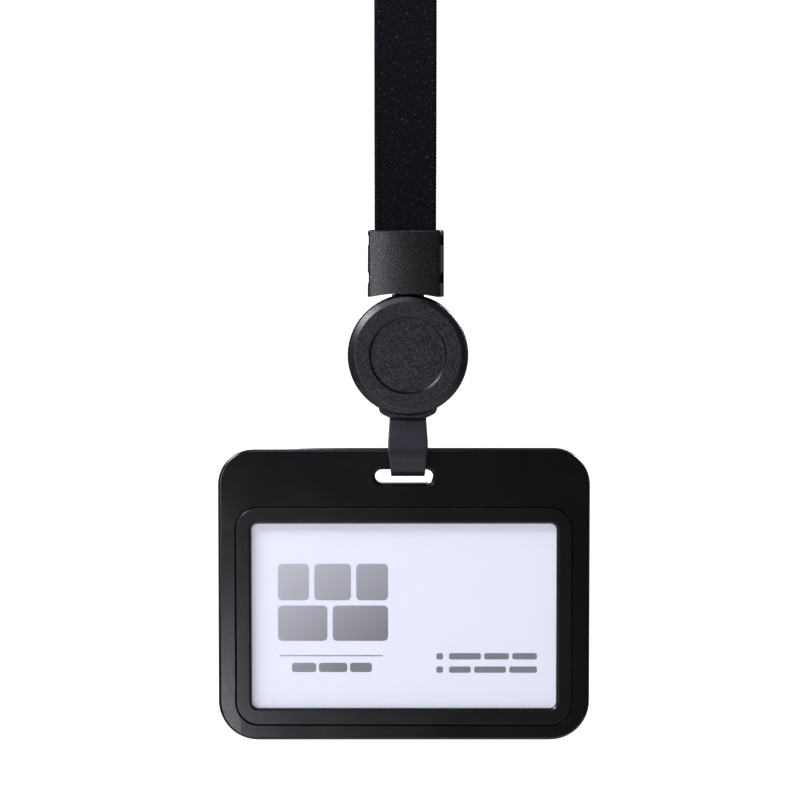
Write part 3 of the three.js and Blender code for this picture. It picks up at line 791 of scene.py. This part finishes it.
def strap_section():
    """Half of the webbing's section: (across, half thickness), thin in the middle with a rolled edge."""
    half = STRAP.width * cos(COLLAR_TURN) / 2
    section = []
    for across in np.linspace(-half + STRAP.tip, half - STRAP.tip, 61):
        share = np.clip((abs(across) - half + EDGE_ROLL.start) / EDGE_ROLL.width, 0, 1)
        section.append((across, STRAP.half_thick + EDGE_ROLL.height * sin(pi * share)))
    return half, section


def strap():
    """The webbing over its whole loop, sheared to keep the collar's turn, with woven-in edges."""
    line = evenly(curve_through(strap_route()), STRAP_STEP)
    half, section = strap_section()
    lean = tan(COLLAR_TURN)
    tip_radius = STRAP.tip
    rings = []
    for i, point in enumerate(line):
        normal = side_of(line, i)
        phase = 2 * pi / WEAVE.edge_pitch * i * STRAP_STEP
        pick = WEAVE.edge_wave * sin(phase)
        ring = []
        for side in (1, -1):
            for across, thick in section if side > 0 else reversed(section):
                rib = sin(across * 2 * pi / WEAVE.rib_pitch) * cos(phase / 2)
                depth = side * (thick + WEAVE.rib * rib)
                ring.append((across, *(point + normal * depth)))
            tip = half + pick * side
            for swing in np.radians((45, 0, -45)):
                reach = side * (tip - tip_radius + tip_radius * cos(swing))
                ring.append((reach, *(point + normal * side * STRAP.tip_half * sin(swing))))
        rings.append([(STRAP.centre_x + x, ry + lean * x, rz) for x, ry, rz in ring])
    piece = skin("strap_webbing_woven", rings, texture="weave")
    dress(piece, woven(), "lanyard", "webbing", "strap_webbing", sharp=60)


# ---- collar


def collar_section():
    """The collar's section from above: flat back, softly bowed front, round corners."""
    half, depth, bulge = COLLAR.width / 2, COLLAR.depth / 2, COLLAR.bulge
    outline = rounded_rect(COLLAR.width, COLLAR.depth, COLLAR.corner)
    out = []
    for (x0, y0), (x1, y1) in zip(outline, np.roll(outline, -1, axis=0)):
        pieces = LONG_SIDE_PIECES if abs(x1 - x0) > 2 else 1
        for k in range(pieces):
            x, y = x0 + (x1 - x0) * k / pieces, y0 + (y1 - y0) * k / pieces
            if y < -depth / 2:
                y += bulge * (abs(x) / half) ** 2
            out.append((x, y))
    return out


def collar_form():
    """The closed collar with its hollow bottom edge and round edges."""
    outline = np.array(collar_section())
    levels = [(COLLAR.bottom, 0)] + soft_edge(COLLAR.top, -COLLAR.top_edge)[::-1]
    body = skin("collar", [[(x, y, z) for x, y in offset(outline, inset)] for z, inset in levels])
    half, hollow = COLLAR.width / 2 - 1, COLLAR.hollow
    radius = (half**2 + hollow**2) / (2 * hollow)
    depth = COLLAR.depth + 1.5
    centre = (0, 0, COLLAR.bottom + hollow - radius)
    return cut(body, rod("hollow", radius, -depth, depth, 360, at=centre))


def collar_tab(side, low, high, room=0.0):
    """A snap tab of the rear shell, or with some room the gap for it in the front shell."""
    across = sorted((side * (TAB.inner - 3 * room), side * (TAB.outer + 3 * room)))
    play = TAB.clearance - room
    return brick("tab", across, (TAB.front - room, TAB.back), (low + play, high - play))


def tooth(side, z):
    """A tooth that grips the strap, on the rear shell for side 1 and the front shell for side -1."""
    depth = sorted((side * TOOTH.near, side * TOOTH.far))
    half, rise = TOOTH.half_width, TOOTH.half_height
    return brick("tooth", (-half, half), depth, (z - rise, z + rise))


def collar():
    body = collar_form()
    stud_x = -COLLAR.centre_x
    half, deep = POCKET.half_width, POCKET.half_depth
    room, room_deep = CHAMBER.half_width, CHAMBER.half_depth
    room_z = (CHAMBER.floor, POCKET.floor + 0.5)
    heights = (COLLAR.bottom - 1, COLLAR.top + 1)
    cut(
        body,
        brick("pocket", (-half, half), (-deep, deep), (POCKET.floor, heights[1])),
        brick("chamber", (stud_x - room, stud_x + room), (-room_deep, room_deep), room_z),
        rod("stem", STEM_HOLE, heights[0], CHAMBER.floor + 1, upright=True, at=(stud_x, 0, 0)),
    )
    for low, high in SNAP_WINDOWS:
        size = (SNAP_WINDOW.width, high - low, SNAP_WINDOW.corner)
        window = rounded_rect(*size, SNAP_WINDOW.centre_y, (low + high) / 2)
        for side in (-1, 1):
            across = sorted((side * SNAP_WINDOW.floor, side * 11))
            cut(body, skin("window", [[(x, u, v) for u, v in window] for x in across]))
    rear = added("collar_rear_moulded", body.data.copy())
    body.name = "collar_front_moulded"
    parting, far = COLLAR.parting, COLLAR.width
    cut(body, brick("rear_half", (-far, far), (parting - PART_GAP, far), heights))
    cut(rear, brick("front_half", (-far, far), (-far, parting + PART_GAP), heights))
    for z in TEETH:
        join(body, tooth(-1, z))
        join(rear, tooth(1, z))
    for low, high in SNAP_WINDOWS:
        for side in (-1, 1):
            cut(body, collar_tab(side, low, high, TAB.room))
            join(rear, collar_tab(side, low, high))
    for shell, node in ((body, "collar_front_shell"), (rear, "collar_rear_shell")):
        ease(shell, COLLAR.bottom_edge, 3, 50)
        turn_collar(shell)
        dress(shell, COLLAR_PLASTIC, "lanyard", "collar_plastic", node)


def turn_collar(shell):
    """Turns a shell about the upright axis and stands it at the collar's place."""
    points = np.array([v.co for v in shell.data.vertices])
    c, s = cos(COLLAR_TURN), sin(COLLAR_TURN)
    x = points[:, 0] * c - points[:, 1] * s + COLLAR.centre_x * MM
    y = points[:, 0] * s + points[:, 1] * c
    shell.data.vertices.foreach_set("co", np.stack([x, y, points[:, 2]], axis=1).ravel())
    shell.data.update()


# ---- reel


def reel_chin(edges):
    """The chin where the cord leaves and the flat seat under the collar, less the drum's bore."""
    z = REEL.centre_z
    wide, shoulder, low = REEL.chin_wide, z + REEL.chin_shoulder, z + REEL.chin_bottom
    left = [(-wide, z - 11.5, 0), (-wide, shoulder, 2.2), (-REEL.chin_narrow, low, 0.9)]
    chin = filleted([*left, *[(-x, level, rounding) for x, level, rounding in reversed(left)]])
    seat = box_outline(-REEL.seat_half, REEL.seat_half, z + 13, z + REEL.radius)
    bore = rod("bore", REEL.bore + 0.6, -REEL.bore_half, REEL.bore_half, 256, at=REEL_AT)
    return cut(join(prism("chin", chin, edges), prism("seat", seat, edges)), bore)


def reel_holes(shell):
    z = REEL.centre_z
    return cut(
        shell,
        rod("stem", STEM_HOLE, z + REEL.bore - 1, z + REEL.radius + 1, upright=True),
        rod("eyelet", EYELET_HOLE, z + REEL.chin_bottom - 1, z - REEL.bore + 2, upright=True),
    )


def rim_corners(side):
    """The bevelled rim from a shell's face out to its wall: (radius, y, rounding)."""
    face, radius = REEL.face, REEL.radius
    half, deep = REEL.half_depth, REEL.rim_depth
    return [
        (face, side * half, 0.25), (radius - 0.45, side * (half - 0.55 * deep), 0.9),
        (radius, side * (half - deep), 0.5),
    ]


def reel_shells():
    radius, half, bore, inner = REEL.radius, REEL.half_depth, REEL.bore, REEL.bore_half
    floor, recess = half - REEL.recess_depth, REEL.recess
    front = turned("reel_front_moulded", [
        (0, -floor, 0), (recess - REEL.recess_slope - 0.6, -floor, 0),
        (recess - REEL.recess_slope, -floor, 0.1), (recess, -half, 0.1), (recess + 0.5, -half, 0),
        (REEL.face - 0.4, -half, 0),
        *rim_corners(-1),
        (radius, -PART_GAP, 0.15), (bore, -PART_GAP, 0.1), (bore, -inner, 0.3), (2.9, -inner, 0.1),
        (2.9, -inner + 0.6, 0.1), (2.05, -inner + 0.6, 0.1), (2.05, -inner - 0.2, 0),
        (0, -inner - 0.2, 0),
    ], 256, step=9, at=REEL_AT)
    rear = turned("reel_rear_moulded", [
        (0, half, 0), (REEL.face - 0.4, half, 0),
        *rim_corners(1),
        (radius, PART_GAP, 0.15), (bore, PART_GAP, 0.1), (bore, inner, 0.3), (1.9, inner, 0.2),
        (1.9, -inner + 0.1, 0.2), (0, -inner + 0.1, 0),
    ], 256, step=9, at=REEL_AT)
    chin_half = REEL.chin_half
    join(front, reel_chin([*soft_edge(-chin_half, 0.2, 3), (-PART_GAP, 0)]))
    join(rear, reel_chin([(PART_GAP, 0), *soft_edge(chin_half, -0.2, 3)[::-1]]))
    reel_holes(front)
    reel_holes(rear)
    join(front, gate_mark())
    dress(front, REEL_PLASTIC, "reel", "reel_plastic", "reel_front_shell")
    dress(rear, REEL_PLASTIC, "reel", "reel_plastic", "reel_rear_shell")


def gate_mark():
    """The small raised ring that the mould's gate leaves in the recess."""
    face = -REEL.half_depth + REEL.recess_depth
    section = ((0.75, 0.1), (0.75, -0.03), (0.55, -0.05), (0.35, -0.03), (0.3, 0.1))
    return lathe("gate", [(r, face + y) for r, y in section], 48, at=GATE_AT, closed=True)


def internals():
    """The turned pieces inside the reel and the cord's anchor, and the spring's steel."""
    spool = turned("spool_moulded", [
        (2.05, -2.6, 0.1), (10.3, -2.6, 0.15), (10.3, -2.0, 0.1), (13.2, -2.0, 0.2), (13.2, -1.3, 0.2),
        (10.3, -1.3, 0.2), (10.3, 1.3, 0.2), (13.2, 1.3, 0.2), (13.2, 2.0, 0.2), (10.3, 2.0, 0.1),
        (10.3, 2.9, 0.2), (9.3, 2.9, 0.2), (9.3, -1.7, 0.3), (3.0, -1.7, 0.3), (3.0, 1.5, 0.1),
        (2.05, 1.5, 0.1),
    ], 144, closed=True, at=REEL_AT)
    acetal = moulded("spool_acetal", (0.62, 0.62, 0.58), (0.7, 0.7, 0.66), (0.35, 0.5), 2500, 0.000012)
    dress(spool, acetal, "spool", "spool_plastic", "spool")
    stud = turned("swivel_stud_turned", [
        (0, 13.5, 0), (2.2, 13.5, 0.2), (2.2, 14.35, 0.15), (1.4, 14.35, 0.1), (1.4, 16.03, 0),
        (3.6, 16.03, 0.03), (3.6, 16.14, 0.03), (1.4, 16.14, 0), (1.4, 18.7, 0.1), (2.6, 18.7, 0.15),
        (2.6, 19.7, 0.3), (1.9, 20.3, 0.4), (0, 20.3, 0),
    ], upright=True, at=REEL_AT)
    blackened = metal("stud_black", REEL_AT, (0.02, 0.02, 0.022), (0.04, 0.04, 0.043), "Z")
    dress(stud, blackened, "reel", "steel", "swivel_stud")
    eyelet = turned("cord_eyelet_turned", [
        (1.15, -16.6, 0.2), (1.6, -16.6, 0.15), (1.6, -14.4, 0.15), (1.2, -14.4, 0.15), (0.8, -15.0, 0.3),
        (0.8, -16.1, 0.3),
    ], closed=True, step=10, upright=True, at=REEL_AT)
    dress(eyelet, metal("eyelet_nickel", REEL_AT, axis="Z"), "reel", "steel", "cord_eyelet")
    anchor = turned("cord_anchor_turned", [
        (0.45, -126.5, 0.05), (0.8, -126.5, 0.3), (1.2, -126.1, 0.3), (1.2, -125.55, 0.3),
        (0.8, -125.15, 0.3), (0.45, -125.15, 0.05),
    ], 64, closed=True, upright=True)
    dress(anchor, metal("anchor_nickel", (0, 0, 0), axis="Z"), "hanger", "steel", "cord_anchor")
    blued = metal("spring_steel", REEL_AT, (0.16, 0.18, 0.24), (0.3, 0.32, 0.38))
    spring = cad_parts["spiral_spring"].data
    spring.materials.clear()
    spring.materials.append(blued)


def tube(name, line, radius, round_steps=16):
    """A round tube along a line in the XZ plane."""
    rings = []
    for i, (x, z) in enumerate(line):
        side = side_of(line, i)
        ring = []
        for k in range(round_steps):
            a = 2 * pi * k / round_steps
            u, v = side * radius * cos(a)
            ring.append((x + u, radius * sin(a), z + v))
        rings.append(ring)
    return skin(name, rings, texture="weave")


def cords():
    lead = tube("cord_lead_braided", evenly(curve_through(CORD_ROUTE), 0.12), CORD_RADIUS)
    dress(lead, CORD_BRAID, None, "cord", "cord_lead", sharp=60)
    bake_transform(lead)
    turns = []
    for layer, offsets in WOUND_LAYERS:
        for depth in offsets:
            section = [
                (layer + WOUND_RADIUS * cos(a), depth + WOUND_RADIUS * sin(a))
                for a in np.radians(range(0, 360, 30))
            ]
            turns.append(lathe("turn", section, 120, at=REEL_AT, closed=True))
    wound = merged("cord_wound_braided", turns)
    dress(wound, CORD_BRAID, "spool", "cord", "cord_wound", sharp=60)


# ---- hanger strap


def strap_ring(outer, inner, half_width, corner=0.32, ridge=True):
    """A ring round the soft strap between its outer and inner faces, both (y, z)."""
    outer, inner = np.array(outer), np.array(inner)
    thick = np.linalg.norm(outer - inner)
    across = (outer - inner) / thick
    centre = (outer + inner) / 2
    corner = min(corner, 0.9 * half_width, 0.45 * thick)
    ring = []
    flat = half_width - corner
    for side in (1, -1):
        for share in np.linspace(1, -1, 33) * side:
            x = share * flat
            mould_line = 0.035 * exp(-((x + 0.5) / 0.12) ** 2) if ridge and side > 0 else 0.0
            ring.append((x, *(centre + across * side * (thick / 2 + mould_line))))
        for a in range(15, 180, 15):
            swing = radians(a)
            u = -side * (flat + corner * sin(swing))
            v = side * ((thick / 2 - corner) * np.sign(90 - a) + corner * cos(swing))
            ring.append((u, *(centre + across * v)))
    return ring


def fold_station(angle):
    a = radians(angle)
    direction = np.array([cos(a), sin(a)])
    centre = np.array([0, FOLD.z])
    outer = centre + direction * (FOLD.radius + FOLD.thickness)
    return (*outer, *(centre + direction * FOLD.radius))


# From the head down its front leg, as (outer y, outer z, inner y, inner z).
LEG_STATIONS = [
    (-HEAD_BACK, HEAD_TOP, HEAD_BACK, HEAD_TOP), (-2.97, -126.6, HEAD_BACK, -126.6),
    (-3.87, -128.7, HEAD_BACK, -128.7),
    (-4.02, -129.05, 1.72, -129.25), (-4.12, -129.3, 1.2, -129.5), (-4.28, -129.7, -2.3, -129.62),
    (-4.45, -130.1, -3.1, -129.95), (-4.75, -130.8, -3.55, -130.75), (-5.22, -132.0, -4.12, -132.0),
    (-5.42, -133.0, -4.3, -133.0),
    fold_station(180),
]
# From the end of the fold up the tail.
TAIL_STATIONS = [
    fold_station(360),
    (5.45, -133.2, 4.3, -133.2), (5.3, -132.6, 4.15, -132.55), (4.4, -131.5, 3.2, -131.4),
    (TAIL_BACK, -130.9, TAIL_FACE, -130.9), (TAIL_BACK, TAIL_ROUND_Z, TAIL_FACE, TAIL_ROUND_Z),
]


def leg_width(z):
    heights, widths = zip(*reversed(HANGER_WIDTHS))
    return float(np.interp(z, heights, widths))


def hanger():
    """The head, the front leg and the fold under the case's bar, up to where the tail takes over."""
    stations = list(curve_through(LEG_STATIONS, 5))[:-1]
    stations += [fold_station(a) for a in range(180, FOLD.seam + 1, 5)]
    smooth_width = curve_through([(leg_width(s[1]), 0) for s in stations], 1)[:, 0]
    smooth_width = np.convolve(np.pad(smooth_width, 4, "edge"), np.ones(9) / 9, "valid")
    rings = []
    for inset_y, inset_z in ((0.12, 0.0), (0.035, 0.035), (0.0, 0.12)):
        y, z = HEAD_BACK - inset_y, HEAD_TOP - inset_z
        rings.append(strap_ring((-y, z), (y, z), smooth_width[0] - inset_y))
    for station, width in zip(stations[1:], smooth_width[1:]):
        rings.append(strap_ring(station[:2], station[2:], width))
    piece = skin("hanger_strap_soft", rings)
    cut(
        piece,
        rod("cord_way", 0.7, -125.15, HEAD_TOP + 1, upright=True),
        rod("anchor_room", 1.35, -126.6, -125.0, upright=True),
        rod("stud_way", 0.9, 0.4, 3, at=(0, 0, SNAP_Z)),
    )
    dress(piece, SOFT_PLASTIC, "hanger", "soft_plastic", "hanger_strap", sharp=50)


def tail():
    """The rest of the fold and the tail, which bends away from the hanger as it opens."""
    stations = [fold_station(a) for a in range(FOLD.seam, 360, 5)]
    stations += list(curve_through(TAIL_STATIONS, 6))
    rings = []
    for station in stations:
        width = TAIL_HALF_WIDTH if station[1] > -137 else max(leg_width(station[1]), TAIL_HALF_WIDTH)
        rings.append(strap_ring(station[:2], station[2:], width, ridge=False))
    for a in range(6, 85, 6):
        rise = TAIL_ROUND_Z + TAIL_HALF_WIDTH * sin(radians(a))
        width = TAIL_HALF_WIDTH * cos(radians(a))
        rings.append(strap_ring((TAIL_BACK, rise), (TAIL_FACE, rise), width, ridge=False))
    piece = skin("strap_tail_soft", rings)
    cut(piece, rod("snap_way", 2.3, 0, 9, at=(0, 0, SNAP_Z)))
    dress(piece, SOFT_PLASTIC, None, "soft_plastic", "strap_tail", sharp=50)
    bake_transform(piece)


def press_stud():
    """The press stud's three turned pieces."""
    at = (0, 0, SNAP_Z)
    nickel = metal("snap_nickel", at)
    stud = turned("snap_stud_turned", [
        (0, 0.5, 0), (0.8, 0.5, 0.1), (0.8, 2.0, 0.1), (1.9, 2.0, 0.1), (1.9, 2.3, 0.1), (0.9, 2.6, 0.2),
        (1.3, 3.1, 0.2), (1.1, 3.65, 0.3), (0, 3.8, 0),
    ], at=at)
    dress(stud, nickel, "hanger", "steel", "snap_stud")
    socket = turned("snap_socket_turned", [
        (0, 4.0, 0), (1.75, 4.0, 0.2), (1.75, 2.65, 0.15), (2.8, 2.65, 0.12), (2.8, 2.9, 0.1),
        (2.15, 2.9, 0.05), (2.15, 4.15, 0.1), (0, 4.15, 0),
    ], at=at)
    dress(socket, nickel, "tail", "steel", "snap_socket")
    cap = turned("snap_cap_turned", [
        (0, 4.25, 0), (3.4, 4.25, 0.08), (3.4, 4.62, 0.12), (2.9, 4.95, 0.5), (1.5, 5.12, 2.0), (0, 5.2, 0),
    ], step=6, at=at)
    dress(cap, nickel, "tail", "steel", "snap_cap")


# ---- card case


def in_case(size):
    return rounded_rect(*size, CASE.centre_x, PANEL_Z)


def case_outline():
    size = (CASE.width, CASE.height, CASE.top_corner)
    middle = CASE.top - CASE.height / 2
    return rounded_rect(*size, CASE.centre_x, middle, CASE.bottom_corner)


def slot_cutter():
    """The slot, which flares to both faces of the case."""
    z = SLOT.top - SLOT.height / 2
    outline = rounded_rect(SLOT.width, SLOT.height, SLOT.height / 2 - 0.01, CASE.centre_x, z)
    half, chamfer = CASE.half_depth, SLOT.chamfer
    inner, proud, flare = half - chamfer, half + 0.2, -chamfer - 0.2
    return prism("slot", outline, [(-proud, flare), (-inner, 0), (inner, 0), (proud, flare)])


def channel():
    """The way that the back cover slides in, open at the right."""
    x = CASE.centre_x
    left, half, step = COVER.left - 0.2, COVER.half_height + 0.2, COVER.step
    far = x + CASE.width / 2 + 2
    low, high = PANEL_Z - half, PANEL_Z + half
    return (
        brick("tongue", (x + left, far), CHANNEL, (low, high)),
        brick("raised", (x + left + step, far), (CHANNEL[0] + 0.01, 4), (low + step, high - step)),
    )


def case_frame():
    half = CASE.half_depth
    body = slab("case_frame_moulded", case_outline(), -half, half, CASE.edge)
    cut(
        body,
        slot_cutter(),
        prism("groove", in_case(GROOVE), [(-half - 1, 0), (LEDGE, 0)]),
        prism("pocket", in_case(CARD_POCKET), [(-half - 1, 0), (half + 1, 0)]),
        *channel(),
    )
    ease(body, CASE_EDGE, 3, CASE_CREASE)
    dress(body, CASE_PLASTIC, "case", "case_plastic", "case_frame")


def bezel():
    """The inlaid bezel, whose opening slopes in to the pane."""
    front = -CASE.half_depth
    body = prism("front_bezel_moulded", in_case(BEZEL), [*soft_edge(front, BEZEL_EDGE), (BEZEL_BACK, 0)])
    slope = [(front - 0.2, -0.2 - BEZEL_SLOPE), (front + BEZEL_SLOPE, 0), (0, 0)]
    cut(body, prism("opening", in_case(OPENING), slope))
    ease(body, TRIM_EDGE, 2, CASE_CREASE)
    dress(body, BEZEL_PLASTIC, "case", "case_plastic", "front_bezel")


def window():
    """The clear pane: a thin sheet under the bezel, and a raised middle with a polished slope."""
    sheet, raised = in_case(BEZEL), in_case(PANE)
    slope = offset(raised, WINDOW.slope)
    levels = [
        (sheet, WINDOW.back), (sheet, WINDOW.ledge), (raised, WINDOW.ledge),
        (raised, WINDOW.front + WINDOW.slope), (slope, WINDOW.front),
    ]
    rings = [standing(outline, y) for outline, y in levels]
    dress(skin("window_clear", rings), CLEAR, "case", "clear_plastic", "window", sharp=20)


def bars(low, high, spans):
    """Plain blocks that stand for a printed row: an outline for each span of x."""
    corner = min(1.2, 0.3 * (high - low))
    return [rounded_rect(b - a, high - low, corner, (a + b) / 2, (low + high) / 2) for a, b in spans]


def card():
    sheet = slab("insert_card_paper", in_case(CARD), CARD_FRONT, CARD_FRONT + CARD_THICK, 0.08)
    dress(sheet, paper(), "case", "card", "insert_card")
    depth = [(CARD_FRONT - PRINT_THICK, 0), (CARD_FRONT, 0)]
    blocks = [prism("block", outline, depth) for row in PRINT_ROWS for outline in bars(*row)]
    print_piece = merged("card_print", blocks)
    print_piece.data.materials.append(ink(*PRINT_SHADE))
    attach(print_piece, "case")


def back_cover():
    x, play = CASE.centre_x, COVER.play
    left, right, step, back = x + COVER.left, x + COVER.right, COVER.step, COVER.back
    low, high = PANEL_Z - COVER.half_height, PANEL_Z + COVER.half_height
    front, tongue_back = CHANNEL[0] + play, CHANNEL[1] - play
    body = brick("back_cover_moulded", (left, right), (front, tongue_back), (low, high))
    raised = box_outline(left + step, right, low + step, high - step)
    join(body, prism("raised", raised, [(front + 0.01, 0), *soft_edge(back, -0.25, 3)[::-1]]))
    limit = prism("limit", offset(case_outline(), 0.35), [(0, 0), (CASE.half_depth, 0)])
    combine(body, "INTERSECT", limit)
    for k in range(GRIP.gaps):
        centre = x + GRIP.centre_x + (k - (GRIP.gaps - 1) / 2) * GRIP.pitch
        gap = rounded_rect(GRIP.width, GRIP.length, 0.6, centre, PANEL_Z)
        cut(body, prism("gap", gap, [(back - GRIP.depth, 0.2), (back - 0.15, 0), (back + 0.5, -0.3)]))
    ease(body, TRIM_EDGE, 2, CASE_CREASE)
    dress(body, CASE_PLASTIC, "cover", "case_plastic", "back_cover")


# ---- the scene

camera()
strap()

# Darkest and lightest colour, then the range of roughness.
COLLAR_LOOK = ((0.0006, 0.0006, 0.001), (0.007, 0.0069, 0.0083), (0.23, 0.285))
REEL_LOOK = ((0.0004, 0.0004, 0.001), (0.037, 0.037, 0.044), (0.24, 0.35))
CASE_LOOK = ((0.0014, 0.0013, 0.0018), (0.0022, 0.0021, 0.0028), (0.19, 0.235))
BEZEL_LOOK = ((0.0022, 0.0021, 0.003), (0.0034, 0.0033, 0.0045), (0.22, 0.265))
COLLAR_PLASTIC = moulded("collar_grain", *COLLAR_LOOK, grain=3000, depth=0.00004)
REEL_PLASTIC = moulded("reel_grain", *REEL_LOOK, grain=3000, depth=0.00006)
CASE_PLASTIC = satin("case_satin", *CASE_LOOK, sag=0.00012)
BEZEL_PLASTIC = satin("bezel_satin", *BEZEL_LOOK)
SOFT_PLASTIC = soft_plastic()
CORD_BRAID = braided()
CLEAR = clear_pane()

collar()
reel_shells()
internals()
cords()
hanger()
tail()
press_stud()
case_frame()
bezel()
window()
card()
back_cover()
stage()
lights()
